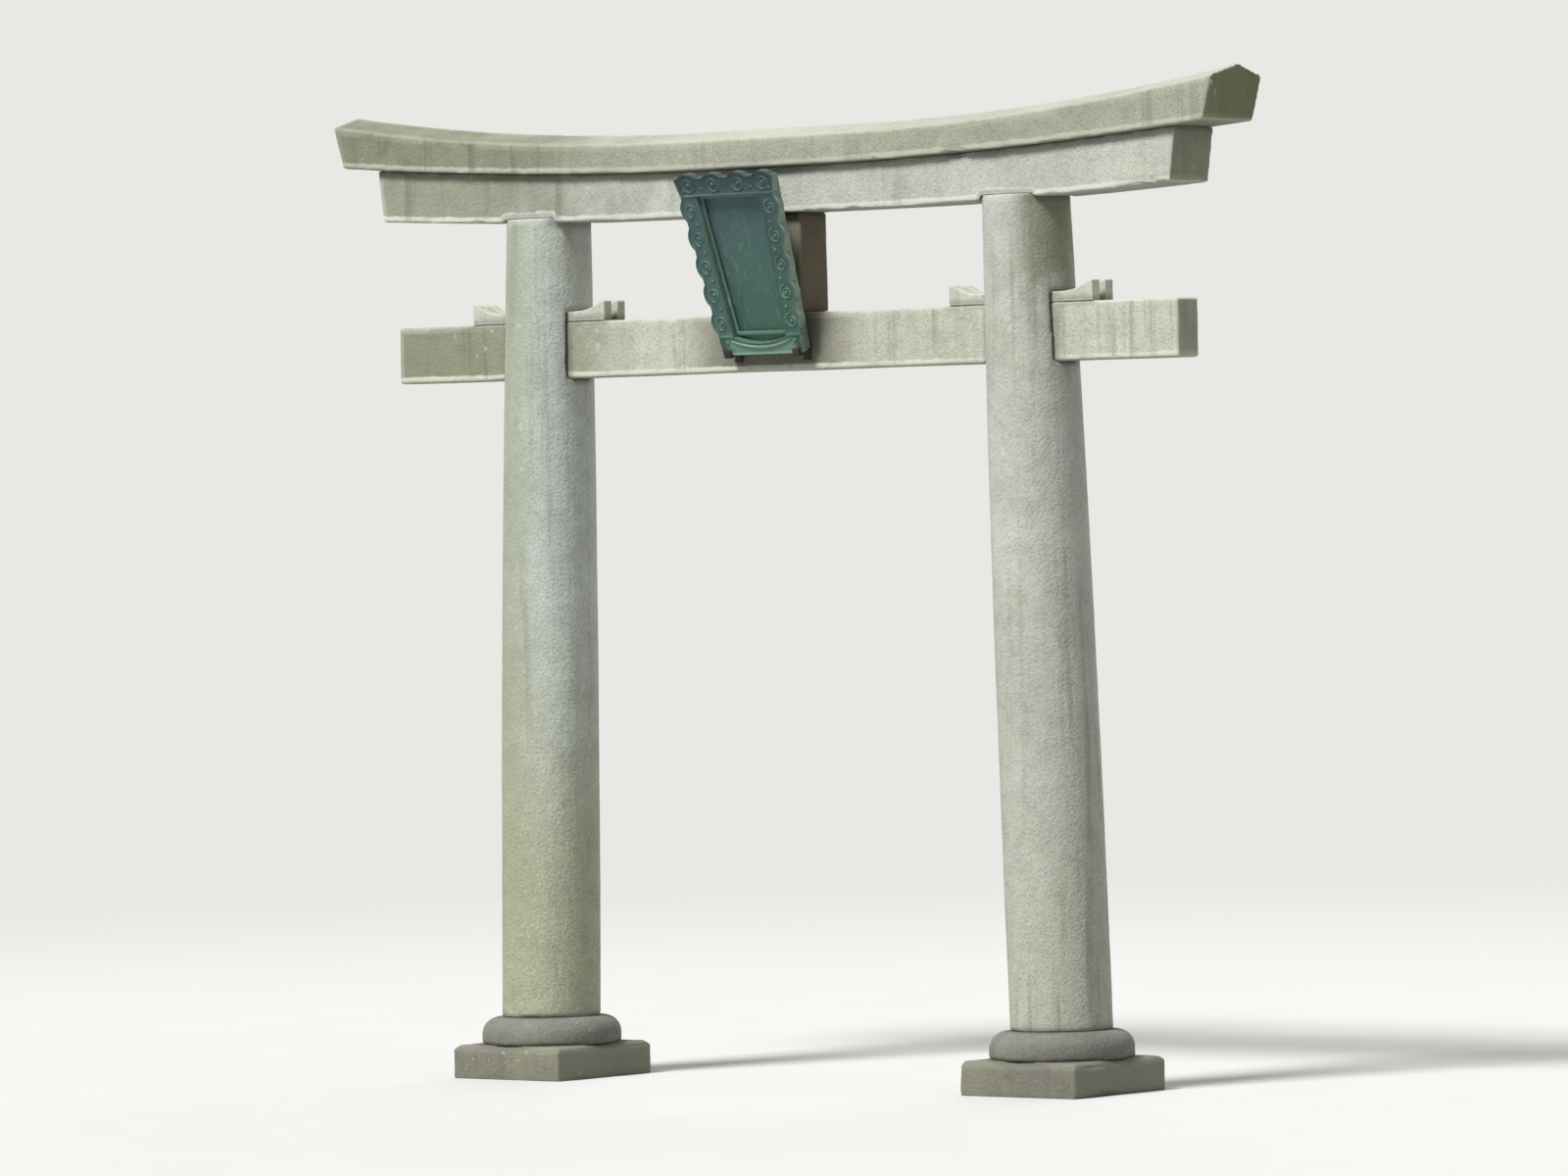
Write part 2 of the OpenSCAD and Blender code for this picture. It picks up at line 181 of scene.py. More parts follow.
class GateTablet(bpy.types.PropertyGroup):
    """Sizes of the cast ornament on the tablet"""

    side_scrolls: count_setting(
        "Side scrolls", "Cloud scrolls on each side board, one for each scallop", 5, 1, 9)
    end_scrolls: count_setting("Half the end scrolls", "Cloud scrolls on each half of the top board", 2, 1, 4)
    side_radius: length_setting("Side scroll radius", "Radius of a side board's scroll", 0.0225, 0.005, 0.04)
    top_radius: length_setting("Top scroll radius", "Radius of a top board's scroll", 0.0235, 0.005, 0.04)
    turns: number_setting("Turns", "Turns of each scroll", 1.75, 0.5, 4.0)
    wire: length_setting(
        "Scroll thickness", "Radius of a scroll's raised line at its thick end", 0.0046, 0.001, 0.01)
    bead: length_setting("Bead", "Radius of the beads between the scrolls", 0.0055, 0.001, 0.02)
    rim: length_setting("Rim", "Width of the raised rim round each board", 0.006, 0.0, 0.02)
    sinking: length_setting("Sinking", "Depth of the field inside the rim", 0.005, 0.0, 0.01)
    rivet: length_setting("Rivet", "Radius of a rivet's head", 0.007, 0.002, 0.02)


class GateStage(bpy.types.PropertyGroup):
    """The camera's place and the light"""

    viewpoint: FloatVectorProperty(
        name="Viewpoint", description="Place of the camera", subtype="TRANSLATION", unit="LENGTH",
        default=(17.328, -19.302, 1.692))
    lens: number_setting("Lens", "Focal length on a 36 mm wide frame", 200.0, 20.0, 400.0)
    roll: FloatProperty(
        name="Roll", description="Turn of the camera about its line of sight", subtype="ANGLE",
        default=math.radians(-1.3))
    key: number_setting("Key light", "Strength of the soft light from the front left", 3.6, 0.0, 10.0)
    fill: number_setting("Fill light", "Strength of the soft light from behind", 0.8, 0.0, 10.0)
    side: number_setting("Side light", "Strength of the soft light from the right", 0.3, 0.0, 10.0)
    ambient: number_setting("Ambient light", "Strength of the light from all round", 0.22, 0.0, 2.0)
    floor: colour_setting("Floor", "Colour of the floor", 222, 222, 219)
    floor_glow: colour_setting(
        "Floor's glow", "Colour of the light that the floor throws back at the gate", 160, 160, 157)
    backdrop: colour_setting("Backdrop", "Colour behind the gate", 232, 232, 229)


class Steps:
    """Short calls that each add one step to a node tree"""

    def __init__(self, tree):
        self.tree = tree

    def node(self, kind, inputs=None, **settings):
        made = self.tree.nodes.new(kind)
        for name, value in settings.items():
            setattr(made, name, value)
        for name, value in (inputs or {}).items():
            self.feed(made.inputs[name], value)
        return made

    def feed(self, socket, value):
        if isinstance(value, bpy.types.NodeSocket):
            self.tree.links.new(value, socket)
        elif socket.type == "RGBA" and len(value) == 3:
            socket.default_value = (*value, 1.0)
        else:
            socket.default_value = value

    def group(self, tree, **inputs):
        made = self.tree.nodes.new(self.tree.bl_idname.replace("NodeTree", "NodeGroup"))
        made.node_tree = tree
        for name, value in inputs.items():
            self.feed(made.inputs[name.replace("_", " ")], value)
        return made.outputs

    def math(self, operation, first, second=0.0, clamp=False):
        inputs = {0: first, 1: second}
        return self.node("ShaderNodeMath", inputs, operation=operation, use_clamp=clamp).outputs[0]

    def vector(self, operation, first, second):
        return self.node("ShaderNodeVectorMath", {0: first, 1: second}, operation=operation).outputs[0]

    def times(self, *values):
        total = values[0]
        for value in values[1:]:
            total = self.math("MULTIPLY", total, value)
        return total

    def inverse(self, mask):
        return self.math("SUBTRACT", 1.0, mask)

    def apart(self, value, middle):
        """How far a value is from another"""
        return self.math("ABSOLUTE", self.math("SUBTRACT", value, middle))

    def strayed(self, value, pattern, reach):
        """A value that a pattern pushes up and down by half the reach"""
        return self.math("ADD", value, self.times(self.math("SUBTRACT", pattern, 0.5), reach))

    def fade(self, value, low, high):
        """0 at low, 1 at high, with soft ends; low may be above high"""
        settings = {"Value": value, "From Min": low, "From Max": high}
        return self.node("ShaderNodeMapRange", settings, interpolation_type="SMOOTHSTEP").outputs[0]

    def mix(self, factor, first, second, blend="MIX"):
        inputs = {0: factor, 6: first, 7: second}
        return self.node("ShaderNodeMix", inputs, data_type="RGBA", blend_type=blend).outputs[2]

    def stretched(self, place, scale):
        return self.node("ShaderNodeMapping", {"Vector": place, "Scale": scale}).outputs[0]

    def noise(self, place, scale, detail=4.0, roughness=0.5):
        inputs = {"Vector": place, "Scale": scale, "Detail": detail, "Roughness": roughness}
        return self.node("ShaderNodeTexNoise", inputs).outputs["Fac"]

    def cells(self, place, scale):
        return self.node("ShaderNodeTexVoronoi", {"Vector": place, "Scale": scale}).outputs

    def split(self, vector):
        return self.node("ShaderNodeSeparateXYZ", {0: vector}).outputs

    def attribute(self, name):
        return self.node("ShaderNodeAttribute", attribute_name=name).outputs["Fac"]


SOCKET_KINDS = {bool: "Bool", int: "Int", float: "Float"}


def new_group(name, inputs, outputs, kind="ShaderNodeTree"):
    """An empty node group with its sockets, its steps, and its two ends.

    Each input is given with its default, or with its kind where it has none. The output named Geometry is
    one, and every other output is a number.
    """
    tree = bpy.data.node_groups.new(name, kind)
    for label, default in inputs.items():
        socket_kind = SOCKET_KINDS.get(type(default), default)
        socket = tree.interface.new_socket(label, in_out="INPUT", socket_type=f"NodeSocket{socket_kind}")
        if socket_kind != default:
            socket.default_value = default
    for label in outputs:
        socket_kind = "Geometry" if label == "Geometry" else "Float"
        tree.interface.new_socket(label, in_out="OUTPUT", socket_type=f"NodeSocket{socket_kind}")
    steps = Steps(tree)
    given = steps.node("NodeGroupInput").outputs
    result = steps.node("NodeGroupOutput").inputs
    return tree, steps, given, result


@cache
def stone_grain():
    """Granite's mineral grains: masks of the dark and of the pale ones, and their relief"""
    tree, steps, given, result = new_group(
        "Stone grain", {"Place": "Vector", "Grain Size": 0.005}, ("Dark", "Pale", "Relief"))
    grains = steps.cells(given["Place"], steps.math("DIVIDE", 1.0, given["Grain Size"]))
    kind = steps.split(grains["Color"])[0]
    steps.feed(result["Dark"], steps.fade(kind, 0.14, 0.10))
    steps.feed(result["Pale"], steps.fade(kind, 0.70, 0.78))
    steps.feed(result["Relief"], steps.math("SUBTRACT", 1.0, grains["Distance"], clamp=True))
    return tree


@cache
def hammered_face():
    """Relief of a bush-hammered face: close round pits of uneven depth"""
    tree, steps, given, result = new_group(
        "Hammered face", {"Place": "Vector", "Pit Size": 0.011}, ("Relief", "Pits"))
    scale = steps.math("DIVIDE", 1.0, given["Pit Size"])
    pits = steps.fade(steps.cells(given["Place"], scale)["Distance"], 0.05, 0.75)
    uneven = steps.noise(given["Place"], steps.math("MULTIPLY", scale, 0.5), 6.0, 0.65)
    steps.feed(result["Relief"], steps.times(pits, steps.math("ADD", uneven, 0.3)))
    steps.feed(result["Pits"], steps.inverse(pits))
    return tree


@cache
def rain_streaks():
    """Mask of the streaks that rain leaves on upright faces"""
    tree, steps, given, result = new_group(
        "Rain streaks", {"Place": "Vector", "Facing": "Vector", "Width": 0.03}, ("Mask",))
    across = steps.math("DIVIDE", 1.0, given["Width"])
    along = steps.math("MULTIPLY", across, 0.045)
    scale = steps.node("ShaderNodeCombineXYZ", {0: across, 1: across, 2: along}).outputs[0]
    lines = steps.noise(steps.vector("MULTIPLY", given["Place"], scale), 1.0, 3.0, 0.55)
    patches = steps.fade(steps.noise(given["Place"], 1.7, 3.0), 0.36, 0.62)
    upright = steps.fade(steps.math("ABSOLUTE", steps.split(given["Facing"])[2]), 0.6, 0.2)
    steps.feed(result["Mask"], steps.times(steps.fade(lines, 0.50, 0.70), patches, upright))
    return tree


@cache
def growth():
    """Mask of soft growth in patches with ragged edges. Amount 0 gives none and 1 covers all."""
    tree, steps, given, result = new_group(
        "Growth", {"Place": "Vector", "Patch Size": 0.25, "Amount": 0.5}, ("Mask",))
    patches = steps.noise(given["Place"], steps.math("DIVIDE", 1.0, given["Patch Size"]), 7.0, 0.62)
    level = steps.math("ADD", patches, steps.math("SUBTRACT", given["Amount"], 0.5))
    steps.feed(result["Mask"], steps.fade(level, 0.42, 0.68))
    return tree


@cache
def lichen_spots():
    """Mask of small crusts of lichen, scattered in colonies"""
    tree, steps, given, result = new_group(
        "Lichen spots", {"Place": "Vector", "Spot Size": 0.03, "Share": 0.3}, ("Mask",))
    ragged = steps.node("ShaderNodeTexNoise", {"Vector": given["Place"], "Scale": 70.0, "Detail": 5.0})
    push = steps.vector("MULTIPLY", ragged.outputs["Color"], (0.026, 0.026, 0.026))
    scale = steps.math("DIVIDE", 1.0, given["Spot Size"])
    spots = steps.cells(steps.vector("ADD", given["Place"], push), scale)
    pick = steps.split(spots["Color"])
    size = steps.math("MULTIPLY", pick[1], 0.42)
    disc = steps.fade(spots["Distance"], size, steps.math("MULTIPLY", size, 0.6))
    chosen = steps.math("LESS_THAN", pick[0], given["Share"])
    colonies = steps.fade(steps.noise(given["Place"], 2.6, 2.0), 0.46, 0.58)
    steps.feed(result["Mask"], steps.times(disc, chosen, colonies))
    return tree


@cache
def arris_wear():
    """Masks of the dressed margins, of the clean ones along a lower edge, and of the arris itself, rubbed and
    with a painted highlight
    """
    tree, steps, given, result = new_group(
        "Arris wear", {"Place": "Vector", "Margin": 0.02}, ("Margin", "Lower", "Rub And Highlight"))
    wander = steps.noise(given["Place"], 28.0, 3.0)
    level = steps.strayed(steps.attribute("arris_gap"), wander, 0.012)
    lower_level = steps.strayed(steps.attribute("lower_gap"), wander, 0.012)
    inner = steps.math("MULTIPLY", given["Margin"], 0.8)
    outer = steps.math("MULTIPLY", given["Margin"], 1.15)
    broken = steps.fade(steps.noise(given["Place"], 5.0, 3.0), 0.32, 0.55)
    steps.feed(result["Margin"], steps.times(steps.fade(level, outer, inner), broken))
    worn = steps.fade(steps.noise(given["Place"], 3.2, 4.0), 0.22, 0.50)
    steps.feed(result["Lower"], steps.times(steps.fade(lower_level, outer, inner), worn))
    steps.feed(result["Rub And Highlight"], steps.fade(level, 0.009, 0.002))
    return tree


@cache
def joint_dirt_and_shade():
    """Mask of the dirt that gathers where a stone meets its neighbour, and of the painted shade there"""
    tree, steps, given, result = new_group("Joint dirt and shade", {"Place": "Vector", "Reach": 0.03}, ("Mask",))
    wander = steps.math("ADD", steps.noise(given["Place"], 14.0, 5.0, 0.65), 0.35)
    reach = steps.times(given["Reach"], wander)
    near = steps.math("MULTIPLY", reach, 0.15)
    steps.feed(result["Mask"], steps.fade(steps.attribute("joint_gap"), reach, near))
    return tree


class Surface:
    """A material in the making: its main shader, where it is and faces, and the colour laid so far"""

    def __init__(self, name):
        self.material = bpy.data.materials.new(name)
        self.material.use_nodes = True
        self.material.node_tree.nodes.clear()
        self.steps = Steps(self.material.node_tree)
        self.shader = self.steps.node("ShaderNodeBsdfPrincipled")
        self.output = self.steps.node("ShaderNodeOutputMaterial", {"Surface": self.shader.outputs["BSDF"]})
        self.place = self.steps.node("ShaderNodeTexCoord").outputs["Object"]
        self.colour = None

    @cached_property
    def normal(self):
        return self.steps.node("ShaderNodeNewGeometry").outputs["Normal"]

    @cached_property
    def where(self):
        return self.steps.split(self.place)

    @cached_property
    def facing(self):
        return self.steps.split(self.normal)

    def lay(self, colour, *shares, blend="MIX"):
        """Lays another colour over the one so far, as strongly as the product of the shares"""
        self.colour = self.steps.mix(self.steps.times(*shares), self.colour, colour, blend)

    def group(self, tree, **inputs):
        """The outputs of a node group that is worked out from the place"""
        return self.steps.group(tree, Place=self.place, **inputs)

    def finish(self, relief, strength, distance, **inputs):
        """Feeds the relief, the colour and the other inputs to the main shader, and gives the material"""
        bump = self.steps.node(
            "ShaderNodeBump", {"Strength": strength, "Distance": distance, "Height": relief})
        inputs |= {"Base Color": self.colour, "Normal": bump.outputs["Normal"]}
        for name, value in inputs.items():
            self.steps.feed(self.shader.inputs[name], value)
        return self.material


GRAIN_SIZE = 0.0036
PIT_SIZE = 0.010
STREAK_WIDTH = 0.035
JOINT_DIRT_AND_SHADE_REACH = 0.03
STONE_GLOSS = 0.28
# Sizes of the patches of thin film, of soiled stone and of algae
FILM_PATCH = 0.28
SOILED_PATCH = 0.5
ALGAE_PATCH = 0.16
# How far the edges of the large tones wander
TONE_STRAY = 1.2
# Heights between which the foot's colour, the damp near the ground, the algae and painted shade on the left
# side and the moss and painted shade under the lintel come in
FOOT_HEIGHTS = (1.7, 0.3)
DAMP_HEIGHTS = (0.75, 0.05)
LEFT_GROWTH_AND_SHADE_HEIGHTS = (-0.6, 1.3)
LINTEL_MOSS_AND_SHADE_HEIGHTS = (2.30, 2.55)
# Places along the gate between which the darker tone at the left end comes in, and distances from its middle
# for the darkening near the tablet, partly dirt and partly the tablet's painted shadow
DULL_PLACES = (GATE_MIDDLE.x - 0.25, GATE_MIDDLE.x - 1.15)
WASH_AND_SHADOW_DISTANCES = (0.38, 0.16)


def lay_minerals(stone, body, foot, speckle, clouds, mottle):
    """Slow clouds, the foot's colour, mottling and mineral grains. Gives the grains' relief."""
    steps = stone.steps
    stone.colour = steps.mix(steps.fade(clouds, 0.30, 0.70), scaled(body, 0.86), scaled(body, 1.10))
    if foot:
        stone.lay(foot, steps.fade(steps.strayed(stone.where[2], clouds, TONE_STRAY), *FOOT_HEIGHTS))
    stone.lay((0.80, 0.80, 0.80), steps.fade(mottle, 0.38, 0.78), blend="MULTIPLY")
    grain = stone.group(stone_grain(), Grain_Size=GRAIN_SIZE)
    stone.lay(scaled(body, 0.30), grain["Dark"], 0.30 * speckle)
    stone.lay(scaled(body, 1.35), grain["Pale"], 0.24 * speckle)
    return grain["Relief"]


def lay_dull_tones(stone, dull, left_tone, left_shade, left_growth_and_shade, wash_and_shadow):
    """Thin film in patches, algae with painted shade on faces turned left, the darker tone and patches at the
    left, and dirt with the tablet's painted shadow near the tablet
    """
    colours = bpy.context.scene.gate_colours
    steps, where, facing = stone.steps, stone.where, stone.facing
    film = stone.group(growth(), Patch_Size=FILM_PATCH, Amount=0.42)["Mask"]
    stone.lay(colours.film, film, 0.28)
    # Algae green on faces turned to the left, which also paints the shade on that side
    height = steps.fade(where[2], *LEFT_GROWTH_AND_SHADE_HEIGHTS)
    stone.lay(colours.algae, steps.fade(facing[0], 0.7, -0.2), height, left_growth_and_shade)
    stone.lay(colours.dull, dull, left_tone)
    # Darker on front faces near the tablet: dirt that runs down, and the tablet's painted shadow
    near_tablet = steps.fade(steps.apart(where[0], GATE_MIDDLE.x), *WASH_AND_SHADOW_DISTANCES)
    stone.lay(scaled(colours.stain_and_shade, 0.8), near_tablet, steps.fade(facing[1], -0.3, -0.8), wash_and_shadow)
    # Darker patches that grow denser towards the left end
    shade = steps.times(steps.fade(where[0], GATE_MIDDLE.x, GATE_LOW.x), left_shade)
    darker_patches = stone.group(growth(), Patch_Size=SOILED_PATCH, Amount=shade)["Mask"]
    stone.lay(colours.stain_and_shade, darker_patches, 0.60)


def lay_damp_and_light(stone, clouds, mottle, dull, algae, roof, flank, flank_share, damp_top_and_shade):
    """Algae, painted light on faces that slope to the sky, stain and painted shade underneath, the right
    flank's colour with its painted shade and light, and moss with painted shade under the lintel. Gives the
    algae's mask.
    """
    colours = bpy.context.scene.gate_colours
    steps, where, facing = stone.steps, stone.where, stone.facing
    low = steps.times(steps.fade(where[2], *DAMP_HEIGHTS), 0.7)
    right = steps.times(steps.fade(facing[0], 0.35, 0.95), 0.62)
    above = steps.times(steps.fade(facing[2], 0.5, 0.98), 0.30)
    damp = steps.math("MAXIMUM", steps.math("MAXIMUM", low, right), above)
    amount = steps.math("ADD", steps.times(damp, 0.6), algae - 0.25)
    green = stone.group(growth(), Patch_Size=ALGAE_PATCH, Amount=amount)["Mask"]
    stone.lay(colours.algae, green, 0.55)
    # Painted light: faces that slope to the sky are made paler
    sky_facing_highlight = steps.times(steps.fade(facing[2], 0.45, 0.8), steps.math("ADD", clouds, 0.25), roof)
    stone.lay(colours.lichen, sky_facing_highlight, steps.inverse(dull))
    # Darker undersides: partly stain and partly painted shade
    stone.lay(colours.stain_and_shade, steps.fade(facing[2], -0.5, -0.9), 0.35)
    # Faces turned to the right: painted shade on the ends, partly moss, and painted light on the bases' right
    # sides
    turned = steps.fade(facing[0], 0.75, 0.95)
    stone.lay(flank or colours.moss_and_shade, turned, flank_share, steps.math("ADD", clouds, 0.3))
    # Moss under the lintel on faces turned to the right, which also paints the shade there
    ragged = steps.math("ADD", where[2], steps.times(mottle, 0.3))
    under_lintel = steps.fade(ragged, *LINTEL_MOSS_AND_SHADE_HEIGHTS)
    stone.lay(colours.moss_and_shade, under_lintel, steps.fade(facing[0], 0.2, 0.8), damp_top_and_shade)
    return green


def granite(name, body, foot=None, algae=0.22, streaks=0.5, lichen=0.25, speckle=1.0, left_tone=0.0,
            left_shade=0.0, left_growth_and_shade=0.0, flank=None, flank_share=0.0, damp_top_and_shade=0.0, wash_and_shadow=0.0, roof=0.0,
            lower_edge=0.0):
    """Weathered granite: mineral grain, hammer marks, streaks, growth and pale dressed margins.

    foot is the colour near the ground. left_tone darkens what stands left of the left post, left_shade
    darkens the left half in patches, and left_growth_and_shade greens the faces turned to the left, as algae
    and as painted shade. flank is the colour of faces turned to the right: painted shade on the ends, partly
    moss, and painted light on the bases' right sides. damp_top_and_shade grows moss on them under the lintel,
    with painted shade.
    wash_and_shadow is the share of the dirt that runs down behind and beside the tablet, together with the
    tablet's painted shadow, roof the share of painted light on the faces that slope to the sky, and
    lower_edge how pale the margin along a lower edge is.
    """
    colours = bpy.context.scene.gate_colours
    stone = Surface(name)
    steps = stone.steps
    clouds = steps.noise(stone.place, 2.4, 6.0, 0.6)
    mottle = steps.noise(stone.place, 16.0, 5.0, 0.65)
    dull = steps.fade(steps.strayed(stone.where[0], clouds, TONE_STRAY), *DULL_PLACES)
    grain_relief = lay_minerals(stone, body, foot, speckle, clouds, mottle)
    lay_dull_tones(stone, dull, left_tone, left_shade, left_growth_and_shade, wash_and_shadow)
    wear = stone.group(arris_wear(), Margin=bpy.context.scene.gate_stone.margin)
    stone.lay(scaled(body, 1.18), wear["Margin"], 0.30)
    stone.lay(scaled(body, 1.36), wear["Lower"], lower_edge)
    drips = stone.group(rain_streaks(), Facing=stone.normal, Width=STREAK_WIDTH)["Mask"]
    stone.lay(colours.stain_and_shade, drips, streaks)
    green = lay_damp_and_light(stone, clouds, mottle, dull, algae, roof, flank, flank_share, damp_top_and_shade)
    # Darker near the joints: partly dirt and partly painted shade between the stones
    joint = stone.group(joint_dirt_and_shade(), Reach=JOINT_DIRT_AND_SHADE_REACH)["Mask"]
    stone.lay(scaled(colours.stain_and_shade, 0.8), joint, 0.45)
    spots = stone.group(lichen_spots(), Share=lichen)["Mask"]
    stone.lay(colours.lichen, spots, 0.5)
    # Lighter along every arris: partly rubbed wear and partly a painted highlight
    stone.lay(scaled(body, 1.18), wear["Rub And Highlight"], 0.30)

    hammered = stone.group(hammered_face(), Pit_Size=PIT_SIZE)
    stone.lay(scaled(body, 0.52), hammered["Pits"], 0.10)
    smoother = steps.inverse(steps.times(wear["Margin"], 0.65))
    relief = steps.math("ADD", steps.times(hammered["Relief"], smoother), steps.times(grain_relief, 0.28))
    relief = steps.math("ADD", relief, steps.times(steps.math("ADD", green, spots), 0.25))
    stone.shader.inputs["Specular IOR Level"].default_value = STONE_GLOSS
    roughness = steps.math("ADD", steps.times(clouds, 0.16), 0.76)
    return stone.finish(relief, strength=0.65, distance=0.0014, Roughness=roughness)


def bronze(name, lower, upper, crust_share=0.5):
    """Cast bronze with patina: green below, bluish above, pale crust in streaks.

    The left side is paler blue, partly patina and partly painted light. Faces turned to the right get painted
    light and the lower outer corners painted shade. Paler copies serve the raised places, partly rubbed and
    partly a painted highlight.
    """
    colours = bpy.context.scene.gate_colours
    low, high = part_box("tablet_board")
    middle = (low.x + high.x) / 2
    metal = Surface(name)
    steps, place, where = metal.steps, metal.place, metal.where

    blotches = steps.noise(place, 9.0, 6.0, 0.6)
    rise = steps.fade(steps.strayed(where[2], blotches, 0.35), low.z + 0.12, high.z - 0.05)
    metal.colour = steps.mix(rise, lower, upper)
    # Paler blue on the left side: partly patina and partly painted light
    left_side = steps.fade(where[0], middle + 0.02, middle - 0.15)
    metal.lay(scaled(colours.blue_bronze, 1.25), left_side, 0.45)
    metal.lay(scaled(lower, 0.62), steps.fade(blotches, 0.52, 0.74))
    foot = steps.fade(steps.math("ADD", where[2], steps.times(blotches, 0.05)), low.z + 0.09, low.z + 0.03)
    metal.lay(scaled(colours.crust, 0.88), foot, 0.75)
    # Painted shade: the lower outer corners are made darker
    outermost = steps.fade(steps.apart(where[0], middle), 0.118, 0.140)
    metal.lay(scaled(lower, 0.45), outermost, steps.fade(where[2], low.z + 0.06, low.z + 0.02), 0.8)
    metal.lay(scaled(upper, 0.55), steps.fade(where[2], high.z - 0.06, high.z - 0.03), 0.8)
    runs = steps.noise(steps.stretched(place, (70.0, 70.0, 6.0)), 1.0, 4.0, 0.6)
    fine = steps.noise(place, 65.0, 6.0, 0.7)
    crust = steps.math("MAXIMUM", steps.fade(runs, 0.54, 0.74), steps.fade(fine, 0.58, 0.74))
    metal.lay(colours.crust, crust, steps.inverse(steps.times(rise, 0.75)), crust_share)
    metal.lay(paint(116, 114, 88), steps.fade(steps.noise(place, 22.0, 5.0, 0.6), 0.55, 0.70), 0.3)
    # Painted light: faces turned to the right are made paler
    metal.lay(paint(146, 168, 150), steps.fade(metal.facing[0], 0.55, 0.9), 0.7)

    return metal.finish(
        steps.math("ADD", steps.times(fine, 0.6), steps.times(crust, 0.4)), strength=0.55, distance=0.0016,
        Metallic=steps.math("SUBTRACT", 0.42, steps.times(crust, 0.38), clamp=True),
        Roughness=steps.math("ADD", steps.times(crust, 0.28), 0.52))


def rusty_iron(name):
    """Dark iron with patches of rust and a scaly surface"""
    metal = Surface(name)
    steps = metal.steps
    metal.colour = bpy.context.scene.gate_colours.iron
    scale = steps.noise(metal.place, 120.0, 6.0, 0.7)
    patches = steps.fade(steps.noise(metal.place, 24.0, 6.0, 0.65), 0.42, 0.62)
    metal.lay(paint(66, 55, 47), patches)
    metal.lay(paint(92, 72, 56), steps.fade(scale, 0.60, 0.74))
    return metal.finish(
        scale, strength=0.6, distance=0.0012,
        Metallic=steps.math("SUBTRACT", 0.7, steps.times(patches, 0.6)),
        Roughness=steps.math("ADD", steps.times(patches, 0.3), 0.55))


MAKERS = {
    "left_post": lambda look: granite(
        "Left post granite", look.left_post, foot=paint(180, 184, 154), streaks=0.30, lichen=0.22,
        left_growth_and_shade=0.48),
    "right_post": lambda look: granite(
        "Right post granite", look.right_post, foot=paint(186, 188, 172), streaks=0.34, lichen=0.22,
        damp_top_and_shade=0.62),
    # For the lintels and the beam, flank_share lays moss colour on the ends turned to the right: partly moss
    # and partly painted shade
    "top_lintel": lambda look: granite(
        "Top lintel granite", look.top_lintel, streaks=0.60, lichen=0.30, left_tone=0.52, left_shade=0.56,
        flank_share=0.95, roof=0.45, lower_edge=0.8),
    "lintel_granite": lambda look: granite(
        "Lintel granite", look.lower_lintel, streaks=0.45, lichen=0.25, left_tone=0.58, left_shade=0.35,
        flank_share=0.8, lower_edge=0.85),
    "beam_granite": lambda look: granite(
        "Beam granite", look.beam, streaks=0.38, left_tone=0.70, left_shade=0.40, flank_share=0.5,
        wash_and_shadow=0.75, lower_edge=0.85),
    "wedge": lambda look: granite("Wedge granite", look.wedge, streaks=0.30, left_tone=0.10),
    # The strut's dark body paints the tablet's shade on it, besides its own stain
    "strut": lambda look: granite(
        "Strut granite", look.strut, lichen=0.05, speckle=0.5, flank=paint(112, 100, 86), flank_share=1.0),
    # The bases' right sides get a paler flank: painted light
    "base_granite": lambda look: granite(
        "Base granite", look.base, algae=0.20, streaks=0.30, lichen=0.35, flank=scaled(look.base, 1.4),
        flank_share=0.9),
    "foot_stone": lambda look: granite(
        "Foot stone granite", look.foot_stone, algae=0.14, streaks=0.30, lichen=0.35),
    "green_bronze": lambda look: bronze("Green bronze", look.verdigris, look.blue_bronze),
    # Paler copy for the fillet: partly pale crust and partly painted light against the recess's shade
    "fillet_bronze": lambda look: bronze(
        "Fillet bronze", scaled(look.verdigris, 1.45), scaled(look.blue_bronze, 1.35), crust_share=0.6),
    "border_bronze": lambda look: bronze(
        "Border bronze", scaled(look.verdigris, 0.86), scaled(look.blue_bronze, 0.86), crust_share=0.4),
    # Paler copy for raised parts: partly rubbed wear and partly a painted highlight
    "raised_bronze": lambda look: bronze(
        "Raised bronze", scaled(look.verdigris, 1.25), scaled(look.blue_bronze, 1.25), crust_share=0.7),
    "dark_iron": lambda look: rusty_iron("Dark iron"),
}
# Pieces whose look isn't the one of their slot
LOOK_OF = {
    "left_post": "left_post",
    "right_post": "right_post",
    "center_strut": "strut",
    "top_lintel": "top_lintel",
    "tablet_fillet": "fillet_bronze",
    **{node: "wedge" for node in WEDGES},
    **{node: "foot_stone" for node in FOOT_STONES},
}


@cache
def finish_for(look):
    """The material of one look, made when first asked for"""
    return MAKERS[look](bpy.context.scene.gate_colours)


WELD = 1e-5
ARRIS_ANGLE = math.radians(25)
ARRIS_STEP = 0.004
ARRIS_REACH = 0.06
# A face whose normal points below this is an underside
UNDERSIDE = -0.7
# Share of the radius by which a rounded right angle stands back at its corner
CORNER_SHARE = 0.41
SMALL_STONE_WEAR = 0.5
# Stones closer than this touch, and dirt and painted shade show up to the joint's reach
TOUCH = 0.0012
JOINT_REACH = 0.06
# How often the wear changes in a metre, from the slow waves of a face to the ragged line of an arris
WAVES = 3.1
ROUNDING = 9
CHIPS = 9.5
TOOL_MARKS = 46
RAGGED_LINE = 60
# Where the chips' pattern starts, and the level above which it chips
CHIP_START = Vector((7.1, 3.3, 5.9))
CHIP_LEVEL = 0.40


